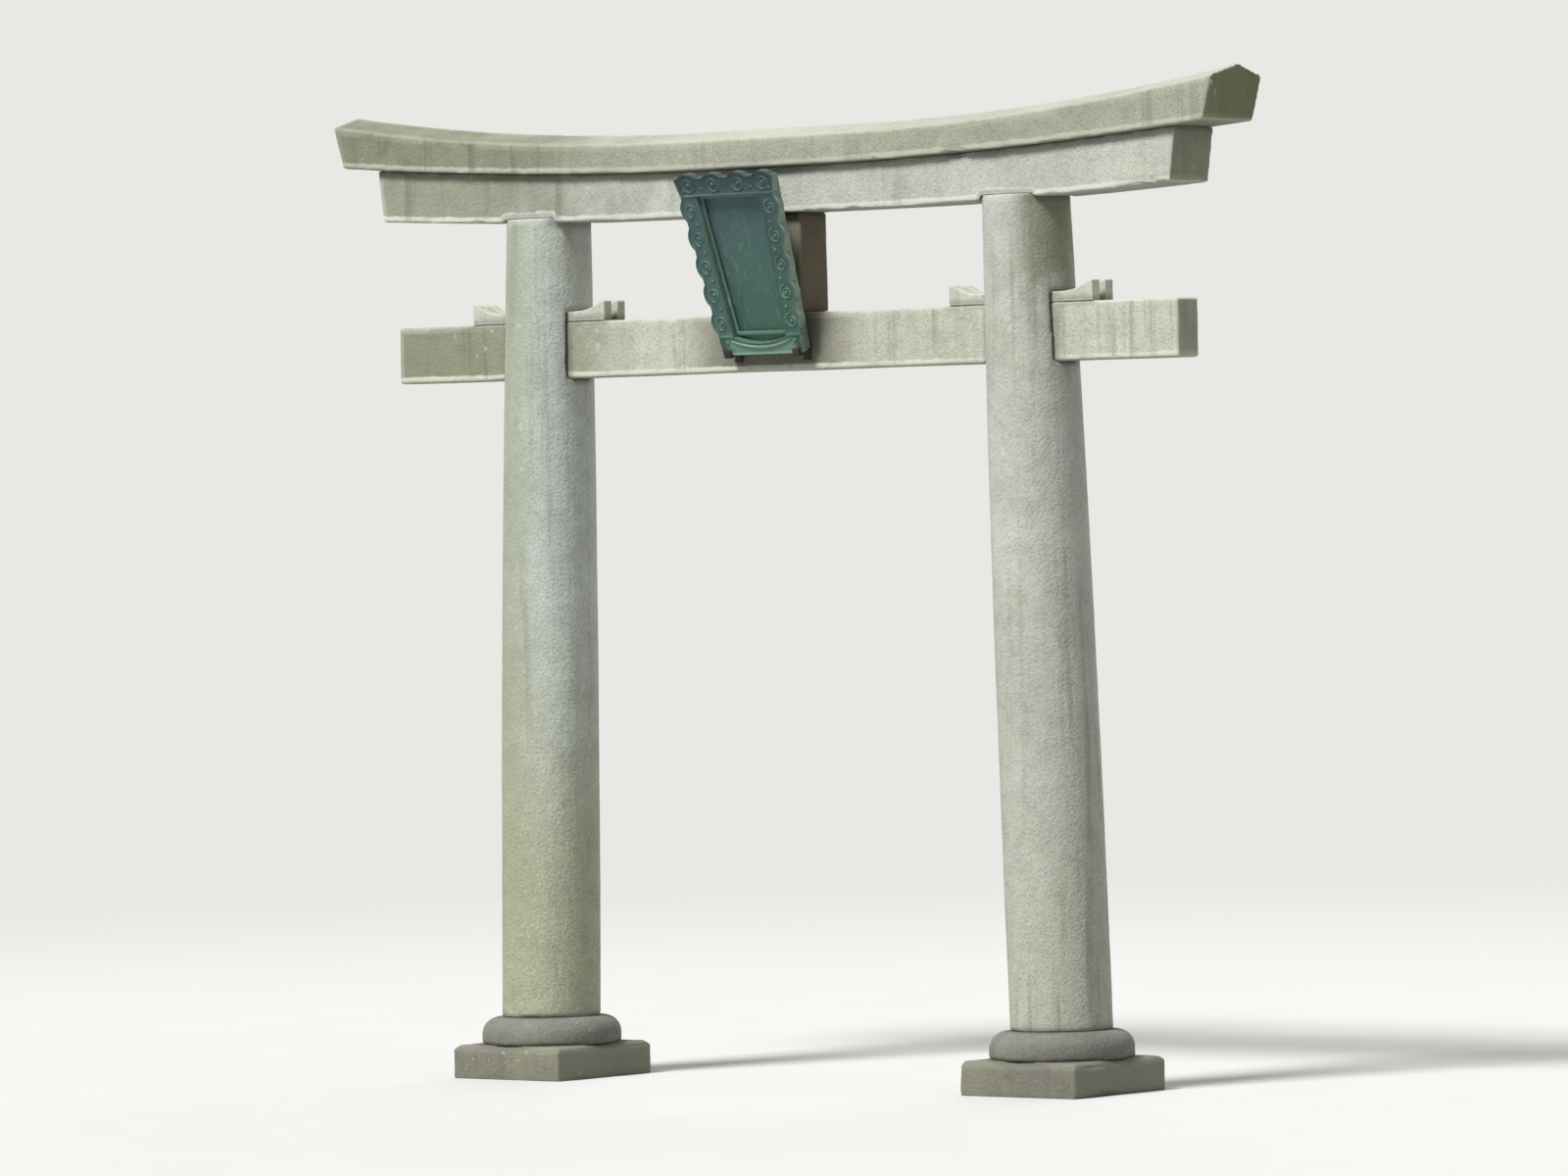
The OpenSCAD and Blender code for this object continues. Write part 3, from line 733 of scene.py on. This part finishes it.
def merged(node):
    """A copy of a node's mesh, its loose triangles joined into one closed skin, as a bmesh"""
    skin = bmesh.new()
    skin.from_mesh(frame["nodes"][node].data)
    bmesh.ops.remove_doubles(skin, verts=skin.verts, dist=WELD)
    return skin


def plain_mesh(skin, name):
    """The mesh that a bmesh holds, which is then let go"""
    mesh = bpy.data.meshes.new(name)
    skin.to_mesh(mesh)
    skin.free()
    return mesh


def new_object(name, mesh):
    """Links a mesh, a lamp or a camera to the scene as an object at the origin"""
    made = bpy.data.objects.new(name, mesh)
    bpy.context.scene.collection.objects.link(made)
    return made


def applied(piece):
    """Turns a piece with live modifiers into the plain mesh that they make"""
    graph = bpy.context.evaluated_depsgraph_get()
    mesh = bpy.data.meshes.new_from_object(piece.evaluated_get(graph))
    piece.modifiers.clear()
    piece.data = mesh
    return piece


def hand_over(piece, slot, *nodes, look=None):
    """Gives a finished piece the material of its look or slot and its body, and hides the nodes that it
    stands for
    """
    for node in nodes:
        look = LOOK_OF.get(node, look)
    piece.data.materials.clear()
    piece.data.materials.append(finish_for(look or slot))
    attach(piece, BODY)
    if nodes:
        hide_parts(*nodes)


def arris_points(skin, highest_normal=1.0):
    """A search tree of points along the outward arrises of a skin.

    highest_normal keeps the arrises that have a face whose normal points no higher than that.
    """
    points = []
    for edge in skin.edges:
        lowest = min((face.normal.z for face in edge.link_faces), default=1.0)
        if edge.calc_face_angle_signed(0.0) > ARRIS_ANGLE and lowest <= highest_normal:
            start, end = (vertex.co for vertex in edge.verts)
            steps = max(1, math.ceil(edge.calc_length() / ARRIS_STEP))
            points += [start.lerp(end, i / steps) for i in range(steps + 1)]
    tree = kdtree.KDTree(len(points))
    for index, point in enumerate(points):
        tree.insert(point, index)
    tree.balance()
    return tree


def neighbours_of(node):
    """A search tree of the faces of the stones near a node"""
    low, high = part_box(node)
    points, faces = [], []
    for other in STONES:
        other_low, other_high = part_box(other)
        apart = max(max(other_low[i] - high[i], low[i] - other_high[i]) for i in range(3))
        if other != node and apart < JOINT_REACH:
            mesh = frame["nodes"][other].data
            faces += [[index + len(points) for index in face.vertices] for face in mesh.polygons]
            points += [vertex.co for vertex in mesh.vertices]
    return bvhtree.BVHTree.FromPolygons(points, faces)


def uneven(point, scale):
    """A smooth random value between 0 and 1 at a point"""
    return 0.5 + 0.5 * noise.noise(point * scale)


def worn_radius(point, sizes, small):
    """Radius of an arris near a point, larger where it is chipped"""
    radius = sizes.arris_radius * (1 + 0.6 * noise.noise(point * ROUNDING))
    if small:
        return radius * SMALL_STONE_WEAR
    return radius + sizes.chip_size * max(noise.noise(point * CHIPS + CHIP_START) - CHIP_LEVEL, 0.0)


def weather(mesh, arrises, lower_arrises, neighbours, sizes, small):
    """Wears a stone inward: uneven faces, rounded and chipped arrises.

    Where a stone touches its neighbour or the ground its face stays true. Small stones are less worn and have
    no chips. Each point keeps its distance from the nearest arris, the nearest lower arris and the nearest
    joint.
    """
    gaps = {"arris_gap": [], "lower_gap": [], "joint_gap": []}
    places = []
    for vertex in mesh.vertices:
        point = vertex.co
        gap = arrises.find(point)[2]
        lower_gap = lower_arrises.find(point)[2]
        near = neighbours.find_nearest(point, JOINT_REACH)[3]
        joint = JOINT_REACH if near is None else near
        radius = worn_radius(point, sizes, small)
        depth = 0.0
        if min(joint, point.z) > TOUCH:
            depth += sizes.waviness * uneven(point, WAVES) + sizes.tool_depth * uneven(point, TOOL_MARKS)
        if gap < radius:
            ragged = 1 + 0.5 * noise.noise(point * RAGGED_LINE)
            depth += CORNER_SHARE * radius * ragged * (1 - gap / radius) ** 2
        places.extend(point - vertex.normal * depth)
        gaps["arris_gap"].append(min(gap, ARRIS_REACH))
        gaps["lower_gap"].append(ARRIS_REACH if lower_gap is None else min(lower_gap, ARRIS_REACH))
        gaps["joint_gap"].append(joint)
    mesh.vertices.foreach_set("co", places)
    for name, values in gaps.items():
        mesh.attributes.new(name, "FLOAT", "POINT").data.foreach_set("value", values)
    mesh.update()


def dress_stone(node, grid):
    """A weathered stone in the place of a node"""
    skin = merged(node)
    arrises = arris_points(skin)
    lower_arrises = arris_points(skin, UNDERSIDE)
    piece = new_object(f"dressed_{node}", plain_mesh(skin, f"dressed_{node}"))
    cover = piece.modifiers.new("Even grid", "REMESH")
    cover.mode = "VOXEL"
    cover.voxel_size = grid
    applied(piece)
    sizes = bpy.context.scene.gate_stone
    weather(piece.data, arrises, lower_arrises, neighbours_of(node), sizes, small=node in WEDGES)
    piece.data.shade_smooth()
    hand_over(piece, SLOT_OF[node], node)


def dress_stones(nodes, grid):
    """Dresses each stone of a group, as an operator's whole work"""
    for node in nodes:
        dress_stone(node, grid)
    return {"FINISHED"}


def local_points(mesh, axes):
    """The points of a mesh in other axes"""
    back = axes.inverted()
    return [back @ vertex.co for vertex in mesh.vertices]


def local_box(mesh, axes):
    """Lowest and highest corner of a mesh in other axes"""
    points = local_points(mesh, axes)
    low = Vector(min(point[i] for point in points) for i in range(3))
    high = Vector(max(point[i] for point in points) for i in range(3))
    return low, high


def node_box(node, axes):
    """Lowest and highest corner of a node in other axes"""
    return local_box(frame["nodes"][node].data, axes)


def tablet_axes():
    """The tablet's own axes as a matrix: across, up its slope and outward, from its lower middle"""
    board = frame["nodes"]["tablet_board"].data
    front = max(board.polygons, key=lambda face: face.area if face.normal.y < -0.5 else 0)
    outward = front.normal.normalized()
    across = Vector((1, 0, 0))
    up = outward.cross(across)
    turn = Matrix((across, up, outward)).transposed()
    low, high = local_box(board, turn)
    start = Vector(((low.x + high.x) / 2, low.y, high.z))
    return Matrix.Translation(turn @ start) @ turn.to_4x4()


BORDER_BEVEL = 0.0018
BOARD_BEVEL = 0.0025
IRON_BEVEL = 0.0015
SMOOTH_ANGLE = math.radians(40)


def dress_metal(node, bevel, rim=0.0, sinking=0.0, outward=None):
    """A cast or forged piece in the place of a node, with softened edges and a sunk front field"""
    skin = merged(node)
    bmesh.ops.dissolve_limit(skin, angle_limit=math.radians(1), verts=skin.verts, edges=skin.edges)
    if rim:
        fronts = [face for face in skin.faces if face.normal.dot(outward) > 0.99]
        field = max(fronts, key=lambda face: face.calc_area())
        bmesh.ops.inset_region(skin, faces=[field], thickness=rim, depth=-sinking, use_even_offset=True)
    sharp = [edge for edge in skin.edges if abs(edge.calc_face_angle(0.0)) > ARRIS_ANGLE]
    bmesh.ops.bevel(
        skin, geom=sharp, offset=bevel, segments=2, profile=0.5, affect="EDGES", clamp_overlap=True)
    mesh = plain_mesh(skin, f"dressed_{node}")
    mesh.shade_smooth()
    mesh.set_sharp_from_angle(angle=SMOOTH_ANGLE)
    hand_over(new_object(f"dressed_{node}", mesh), SLOT_OF[node], node)


def pattern_group(name, inputs):
    """An empty Geometry Nodes group that takes its own inputs and a material"""
    inputs = {"Geometry": "Geometry", **inputs, "Material": "Material"}
    return new_group(name, inputs, ("Geometry",), kind="GeometryNodeTree")


def end_pattern(steps, geometry, given, result):
    """The last steps of a pattern: real meshes, smooth faces and the material"""
    real = steps.node("GeometryNodeRealizeInstances", {"Geometry": geometry})
    smooth = steps.node("GeometryNodeSetShadeSmooth", {"Geometry": real.outputs["Geometry"]})
    finished = steps.node("GeometryNodeSetMaterial", {
        "Geometry": smooth.outputs["Geometry"], "Material": given["Material"]})
    steps.feed(result["Geometry"], finished.outputs["Geometry"])


def flattened(steps, shape, height):
    """A shape pressed to a share of its height"""
    return steps.node("GeometryNodeTransform", {"Geometry": shape, "Scale": (1.0, 1.0, height)}).outputs[0]


def ball(steps, radius, segments=12, rings=8):
    """A ball's mesh"""
    return steps.node("GeometryNodeMeshUVSphere", {
        "Segments": segments, "Rings": rings, "Radius": radius}).outputs["Mesh"]


def row_of(steps, shape, count, start, step, rotation=(0.0, 0.0, 0.0)):
    """Copies of a shape in a straight row"""
    line = steps.node("GeometryNodeMeshLine", {"Count": count, "Start Location": start, "Offset": step})
    return steps.node("GeometryNodeInstanceOnPoints", {
        "Points": line.outputs["Mesh"], "Instance": shape, "Rotation": rotation}).outputs["Instances"]


def swept(steps, curve, radius, resolution, swell):
    """A round bar along a curve, its thickness scaled by a swell"""
    profile = steps.node("GeometryNodeCurvePrimitiveCircle", {"Resolution": resolution, "Radius": radius})
    return steps.node("GeometryNodeCurveToMesh", {
        "Curve": curve.outputs["Curve"], "Profile Curve": profile.outputs["Curve"], "Scale": swell,
        "Fill Caps": True}).outputs["Mesh"]


def joined(steps, *shapes):
    """Several shapes as one geometry"""
    both = steps.node("GeometryNodeJoinGeometry")
    for shape in shapes:
        steps.feed(both.inputs[0], shape)
    return both.outputs[0]


@cache
def scroll_row_tree():
    """A row of raised spiral scrolls with beads between them"""
    tree, steps, given, result = pattern_group("Scroll row", {
        "Count": 5, "Step": "Vector", "Start": "Vector", "Scroll Radius": 0.02, "Turns": 1.5,
        "Thickness": 0.003, "Reverse": False, "Turn": 0.0, "Bead Radius": 0.005, "Bead Shift": "Vector"})
    inner = steps.times(given["Scroll Radius"], 0.20)
    spiral = steps.node("GeometryNodeCurveSpiral", {
        "Resolution": 14, "Rotations": given["Turns"], "Start Radius": inner,
        "End Radius": given["Scroll Radius"], "Height": 0.0, "Reverse": given["Reverse"]})
    along = steps.node("GeometryNodeSplineParameter").outputs["Factor"]
    line = swept(steps, spiral, given["Thickness"], 8, steps.math("ADD", steps.times(along, 0.55), 0.45))
    knob = ball(steps, steps.times(given["Scroll Radius"], 0.26))
    scroll = flattened(steps, joined(steps, line, knob), 0.8)
    turned = steps.node("ShaderNodeCombineXYZ", {2: given["Turn"]}).outputs[0]
    scrolls = row_of(steps, scroll, given["Count"], given["Start"], given["Step"], turned)

    half_step = steps.vector("MULTIPLY", given["Step"], (0.5, 0.5, 0.5))
    between = steps.vector("ADD", steps.vector("ADD", given["Start"], half_step), given["Bead Shift"])
    bead = flattened(steps, ball(steps, given["Bead Radius"]), 0.7)
    beads = row_of(steps, bead, steps.math("SUBTRACT", given["Count"], 1.0), between, given["Step"])
    end_pattern(steps, joined(steps, scrolls, beads), given, result)
    return tree


@cache
def rivet_row_tree():
    """A row of low round rivet heads"""
    tree, steps, given, result = pattern_group("Rivet row", {
        "Count": 2, "Start": "Vector", "Step": "Vector", "Head Radius": 0.008})
    head = flattened(steps, ball(steps, given["Head Radius"], segments=16, rings=10), 0.6)
    end_pattern(steps, row_of(steps, head, given["Count"], given["Start"], given["Step"]), given, result)
    return tree


@cache
def arc_moulding_tree():
    """A raised rounded moulding that follows an arc through three points"""
    tree, steps, given, result = pattern_group("Arc moulding", {
        "Start": "Vector", "Middle": "Vector", "End": "Vector", "Thickness": 0.005})
    ends = {name: given[name] for name in ("Start", "Middle", "End")}
    arc = steps.node("GeometryNodeCurveArc", {"Resolution": 48, **ends}, mode="POINTS")
    along = steps.node("GeometryNodeSplineParameter").outputs["Factor"]
    from_ends = steps.inverse(steps.apart(steps.times(along, 2.0), 1.0))
    swell = steps.math("ADD", steps.times(steps.fade(from_ends, 0.0, 0.5), 0.55), 0.45)
    end_pattern(steps, swept(steps, arc, given["Thickness"], 10, swell), given, result)
    return tree


def patterned(name, tree, axes, slot, look=None, **values):
    """A plain mesh from a Geometry Nodes tree, set in the given axes"""
    piece = new_object(name, bpy.data.meshes.new(name))
    modifier = piece.modifiers.new("Pattern", "NODES")
    modifier.node_group = tree
    sockets = {item.name: item.identifier for item in tree.interface.items_tree if item.in_out == "INPUT"}
    modifier[sockets["Material"]] = finish_for(look or slot)
    for label, value in values.items():
        modifier[sockets[label.replace("_", " ")]] = value
    applied(piece)
    piece.data.transform(axes)
    hand_over(piece, slot, look=look)


def end_points(mesh, axes, sign):
    """The middle of a side board's straight strip at its foot and at its head, in the tablet's axes"""
    points = local_points(mesh, axes)
    middles = []
    for height in (min(point.y for point in points), max(point.y for point in points)):
        level = [abs(point.x) for point in points if abs(point.y - height) < WELD * 10]
        middles.append(Vector((sign * (min(level) + max(level)) / 2, height, 0)))
    return middles


class GATE_OT_base_stones(bpy.types.Operator):
    """Dresses the square blocks and the round stones under the posts"""

    bl_idname = "gate.base_stones"
    bl_label = "Base Stones"

    def execute(self, context):
        return dress_stones(BASES + FOOT_STONES, context.scene.gate_stone.grid)


class GATE_OT_posts(bpy.types.Operator):
    """Dresses the two leaning round posts"""

    bl_idname = "gate.posts"
    bl_label = "Posts"

    def execute(self, context):
        return dress_stones(POSTS, context.scene.gate_stone.grid)


class GATE_OT_tie_beam(bpy.types.Operator):
    """Dresses the tie beam and the strut that stands on it"""

    bl_idname = "gate.tie_beam"
    bl_label = "Tie Beam and Strut"

    def execute(self, context):
        return dress_stones(BEAM + STRUT, context.scene.gate_stone.grid)


class GATE_OT_wedges(bpy.types.Operator):
    """Dresses the wedges that lock the tie beam in the posts"""

    bl_idname = "gate.wedges"
    bl_label = "Wedges"

    def execute(self, context):
        return dress_stones(WEDGES, context.scene.gate_stone.fine_grid)


class GATE_OT_lintels(bpy.types.Operator):
    """Dresses the curved lower and top lintels"""

    bl_idname = "gate.lintels"
    bl_label = "Lintels"

    def execute(self, context):
        return dress_stones(LINTELS, context.scene.gate_stone.grid)


class GATE_OT_tablet(bpy.types.Operator):
    """Finishes the bronze tablet's board, borders and fillet"""

    bl_idname = "gate.tablet"
    bl_label = "Tablet"

    def execute(self, context):
        sizes = context.scene.gate_tablet
        outward = tablet_axes().to_3x3().col[2]
        for node in BORDERS:
            dress_metal(node, BORDER_BEVEL, sizes.rim, sizes.sinking, outward)
        for node in BOARDS:
            dress_metal(node, BOARD_BEVEL)
        return {"FINISHED"}


# How far the scrolls are set outward from the middle of a side board's strip, and the beads back towards the
# tablet's middle
SCROLL_SHIFT = 0.003
SIDE_BEAD_SHIFT = 0.010
TOP_BEAD_SHIFT = 0.012
# How far the moulding stands below the dip in the bottom board, and how much thicker it is than a scroll
MOULDING_DROP = 0.013
MOULDING_SHARE = 1.2


class GATE_OT_scrolls(bpy.types.Operator):
    """Casts the cloud scrolls on the side and top boards and the arc moulding on the bottom board"""

    bl_idname = "gate.scrolls"
    bl_label = "Cloud Scrolls"

    def execute(self, context):
        sizes = context.scene.gate_tablet
        axes = tablet_axes()
        for side, sign in SIDE_SIGNS:
            self.cast_side_scrolls(axes, sizes, side, sign)
        for side, sign in SIDE_SIGNS:
            self.cast_top_scrolls(axes, sizes, side, sign)
        self.cast_moulding(axes, sizes)
        return {"FINISHED"}

    def cast_row(self, name, axes, sizes, **values):
        """A row of scrolls with the sizes that all rows share"""
        patterned(
            name, scroll_row_tree(), axes, "border_bronze", look="raised_bronze", Turns=sizes.turns,
            Thickness=sizes.wire, Bead_Radius=sizes.bead, **values)

    def cast_side_scrolls(self, axes, sizes, side, sign):
        """One scroll for each scallop, along a side board's straight strip"""
        mesh = frame["nodes"][f"tablet_{side}_border"].data
        high = local_box(mesh, axes)[1]
        foot, head = end_points(mesh, axes, sign)
        step = (head - foot) / sizes.side_scrolls
        shift = Vector((sign * SCROLL_SHIFT, 0, high.z - sizes.sinking))
        self.cast_row(
            f"{side}_scrolls", axes, sizes, Count=sizes.side_scrolls, Step=step,
            Start=foot + step / 2 + shift, Scroll_Radius=sizes.side_radius, Reverse=sign < 0, Turn=0.0,
            Bead_Shift=Vector((-sign * SIDE_BEAD_SHIFT, 0, 0)))

    def cast_top_scrolls(self, axes, sizes, side, sign):
        """The scrolls on one half of the top board, which face those on the other half"""
        low, high = node_box("tablet_top_border", axes)
        pitch = (high.x - low.x) / (2 * sizes.end_scrolls)
        self.cast_row(
            f"top_{side}_scrolls", axes, sizes, Count=sizes.end_scrolls, Step=Vector((sign * pitch, 0, 0)),
            Start=Vector((sign * pitch / 2, (low.y + high.y) / 2, high.z - sizes.sinking)),
            Scroll_Radius=sizes.top_radius, Reverse=sign < 0, Turn=math.pi / 2,
            Bead_Shift=Vector((0, -TOP_BEAD_SHIFT, 0)))

    def cast_moulding(self, axes, sizes):
        """The arc stands a little below the dip in the bottom board's inner edge"""
        points = local_points(frame["nodes"]["tablet_bottom_border"].data, axes)
        top = max(point.y for point in points)
        inner = min(abs(point.x) for point in points if point.y > top - WELD * 10)
        dip = min(point.y for point in points if abs(point.x) < inner * 0.1 and point.y > top * 0.3)
        level = max(point.z for point in points) - sizes.sinking
        reach, height = inner + MOULDING_DROP, top - MOULDING_DROP
        patterned(
            "bottom_moulding", arc_moulding_tree(), axes, "border_bronze", look="raised_bronze",
            Start=Vector((-reach, height, level)), Middle=Vector((0, dip - MOULDING_DROP, level)),
            End=Vector((reach, height, level)), Thickness=sizes.wire * MOULDING_SHARE)


# Rivets on a batten, and the share of its length at which the first and each next one stands
BATTEN_RIVETS = 3
BATTEN_START = 0.1
BATTEN_STEP = 0.4
# Distances of a corner rivet from the inner edge of its board and from the board's end
RIVET_INSET = 0.016
RIVET_MARGIN = 0.026


class GATE_OT_fixings(bpy.types.Operator):
    """Finishes the iron battens, brackets and stays, and sets the rivets"""

    bl_idname = "gate.fixings"
    bl_label = "Fixings"

    def execute(self, context):
        for node in FIXINGS:
            dress_metal(node, IRON_BEVEL)
        sizes = context.scene.gate_tablet
        axes = tablet_axes()
        for node in BATTENS:
            low, high = node_box(node, axes)
            length = high.x - low.x
            patterned(
                f"{node}_rivets", rivet_row_tree(), axes, "dark_iron", Count=BATTEN_RIVETS,
                Start=Vector((low.x + length * BATTEN_START, (low.y + high.y) / 2, low.z)),
                Step=Vector((length * BATTEN_STEP, 0, 0)), Head_Radius=sizes.rivet)
        for edge in ("top", "bottom"):
            low, high = node_box(f"tablet_{edge}_border", axes)
            height = low.y + RIVET_INSET if edge == "top" else high.y - RIVET_INSET
            reach = high.x - RIVET_MARGIN
            patterned(
                f"{edge}_corner_rivets", rivet_row_tree(), axes, "border_bronze", look="raised_bronze",
                Count=2, Start=Vector((-reach, height, high.z - sizes.sinking)),
                Step=Vector((2 * reach, 0, 0)), Head_Radius=sizes.rivet)
        return {"FINISHED"}


STAGE_RADIUS = 60.0
# Distances from the floor's middle between which it fades into the backdrop
FADE_DISTANCES = (3.5, 14.0)
LAMP_DISTANCE = 8
SENSOR_WIDTH = 36.0
VIEW_END = 200.0


def soft_sun(name, strength, azimuth, elevation, spread):
    """A soft distant lamp that shines from an azimuth, as views count it, and an elevation"""
    lamp = bpy.data.lights.new(name, "SUN")
    lamp.energy = strength
    lamp.angle = math.radians(spread)
    turn, lift = math.radians(azimuth), math.radians(elevation)
    towards = Vector((math.sin(turn) * math.cos(lift), -math.cos(turn) * math.cos(lift), math.sin(lift)))
    made = new_object(name, lamp)
    made.rotation_mode = "QUATERNION"
    made.rotation_quaternion = towards.to_track_quat("Z", "Y")
    made.location = GATE_MIDDLE + towards * LAMP_DISTANCE


def seen_rays(steps):
    """1 for rays that see the background straight, in a gloss or through glass"""
    path = steps.node("ShaderNodeLightPath").outputs
    seen = steps.math("ADD", path["Is Camera Ray"], path["Is Glossy Ray"])
    return steps.math("ADD", seen, path["Is Transmission Ray"], clamp=True)


def make_floor(stage):
    """A round pale floor that fades into the backdrop's colour away from the gate"""
    middle = Vector((GATE_MIDDLE.x, GATE_MIDDLE.y, GATE_LOW.z))
    skin = bmesh.new()
    bmesh.ops.create_circle(skin, cap_ends=True, radius=STAGE_RADIUS, segments=96)
    mesh = plain_mesh(skin, "floor")
    mesh.transform(Matrix.Translation(middle))
    floor = new_object("floor", mesh)
    ground = Surface("Pale floor")
    steps, shader = ground.steps, ground.shader
    speckle = steps.fade(steps.noise(ground.place, 3.0, 5.0, 0.6), 0.3, 0.7)
    seen = steps.mix(speckle, scaled(stage.floor, 0.985), stage.floor)
    steps.feed(shader.inputs["Base Color"], steps.mix(seen_rays(steps), stage.floor_glow, seen))
    shader.inputs["Roughness"].default_value = 0.9
    shader.inputs["Specular IOR Level"].default_value = 0.1
    distance = steps.node("ShaderNodeVectorMath", {0: ground.place, 1: middle}, operation="DISTANCE")
    away = steps.fade(distance.outputs["Value"], *FADE_DISTANCES)
    glow = steps.node("ShaderNodeEmission", {"Color": stage.backdrop}).outputs[0]
    far = steps.times(away, seen_rays(steps))
    both = steps.node("ShaderNodeMixShader", {0: far, 1: shader.outputs[0], 2: glow})
    steps.feed(ground.output.inputs["Surface"], both.outputs[0])
    mesh.materials.append(ground.material)


def make_world(stage):
    """Even light from all round, and the backdrop's colour where the background is seen"""
    world = bpy.data.worlds.new("Studio")
    bpy.context.scene.world = world
    world.use_nodes = True
    world.node_tree.nodes.clear()
    steps = Steps(world.node_tree)
    light = steps.node("ShaderNodeBackground", {"Color": (1.0, 1.0, 1.0), "Strength": stage.ambient})
    seen = steps.node("ShaderNodeBackground", {"Color": stage.backdrop, "Strength": 1.0})
    both = steps.node("ShaderNodeMixShader", {0: seen_rays(steps), 1: light.outputs[0], 2: seen.outputs[0]})
    steps.node("ShaderNodeOutputWorld", {"Surface": both.outputs[0]})


def make_camera(stage):
    """The camera at the viewpoint, turned to the gate's middle"""
    camera = new_object("Camera", bpy.data.cameras.new("Camera"))
    camera.data.sensor_width = SENSOR_WIDTH
    camera.data.lens = stage.lens
    camera.data.clip_end = VIEW_END
    camera.location = stage.viewpoint
    camera.rotation_mode = "QUATERNION"
    turn = (GATE_MIDDLE - camera.location).to_track_quat("-Z", "Y")
    camera.rotation_quaternion = turn @ Matrix.Rotation(stage.roll, 3, "Z").to_quaternion()
    bpy.context.scene.camera = camera


class GATE_OT_stage(bpy.types.Operator):
    """Sets up the floor, the light and the camera"""

    bl_idname = "gate.stage"
    bl_label = "Stage"

    def execute(self, context):
        stage = context.scene.gate_stage
        make_camera(stage)
        make_world(stage)
        make_floor(stage)
        soft_sun("Key", stage.key, azimuth=-11, elevation=50, spread=17)
        soft_sun("Fill", stage.fill, azimuth=-165, elevation=32, spread=60)
        soft_sun("Side", stage.side, azimuth=105, elevation=28, spread=60)
        context.scene.view_settings.view_transform = "Standard"
        return {"FINISHED"}


class GATE_PT_panel(bpy.types.Panel):
    """Lists the sizes, the colours and the steps that finish the gate"""

    bl_idname = "GATE_PT_panel"
    bl_label = "Stone Gate"
    bl_space_type = "VIEW_3D"
    bl_region_type = "UI"
    bl_category = "Stone Gate"

    def draw(self, context):
        for group in GROUPS:
            box = self.layout.box()
            settings = getattr(context.scene, group)
            for name in settings.bl_rna.properties.keys():
                if name not in ("rna_type", "name"):
                    box.prop(settings, name)
        for operator in STEPS_IN_ORDER:
            self.layout.operator(operator.bl_idname)


GROUPS = {
    "gate_stone": GateStone,
    "gate_colours": GateColours,
    "gate_tablet": GateTablet,
    "gate_stage": GateStage,
}
STEPS_IN_ORDER = (
    GATE_OT_stage,
    GATE_OT_base_stones,
    GATE_OT_posts,
    GATE_OT_tie_beam,
    GATE_OT_wedges,
    GATE_OT_lintels,
    GATE_OT_tablet,
    GATE_OT_scrolls,
    GATE_OT_fixings,
)


def register():
    for group in (*GROUPS.values(), *STEPS_IN_ORDER, GATE_PT_panel):
        bpy.utils.register_class(group)
    for name, group in GROUPS.items():
        setattr(bpy.types.Scene, name, PointerProperty(type=group))


def unregister():
    for name in GROUPS:
        delattr(bpy.types.Scene, name)
    for group in (GATE_PT_panel, *reversed(STEPS_IN_ORDER), *GROUPS.values()):
        bpy.utils.unregister_class(group)


def main():
    register()
    for operator in STEPS_IN_ORDER:
        step = operator.bl_idname.split(".")[1]
        getattr(bpy.ops.gate, step)()


if __name__ == "__main__":
    main()
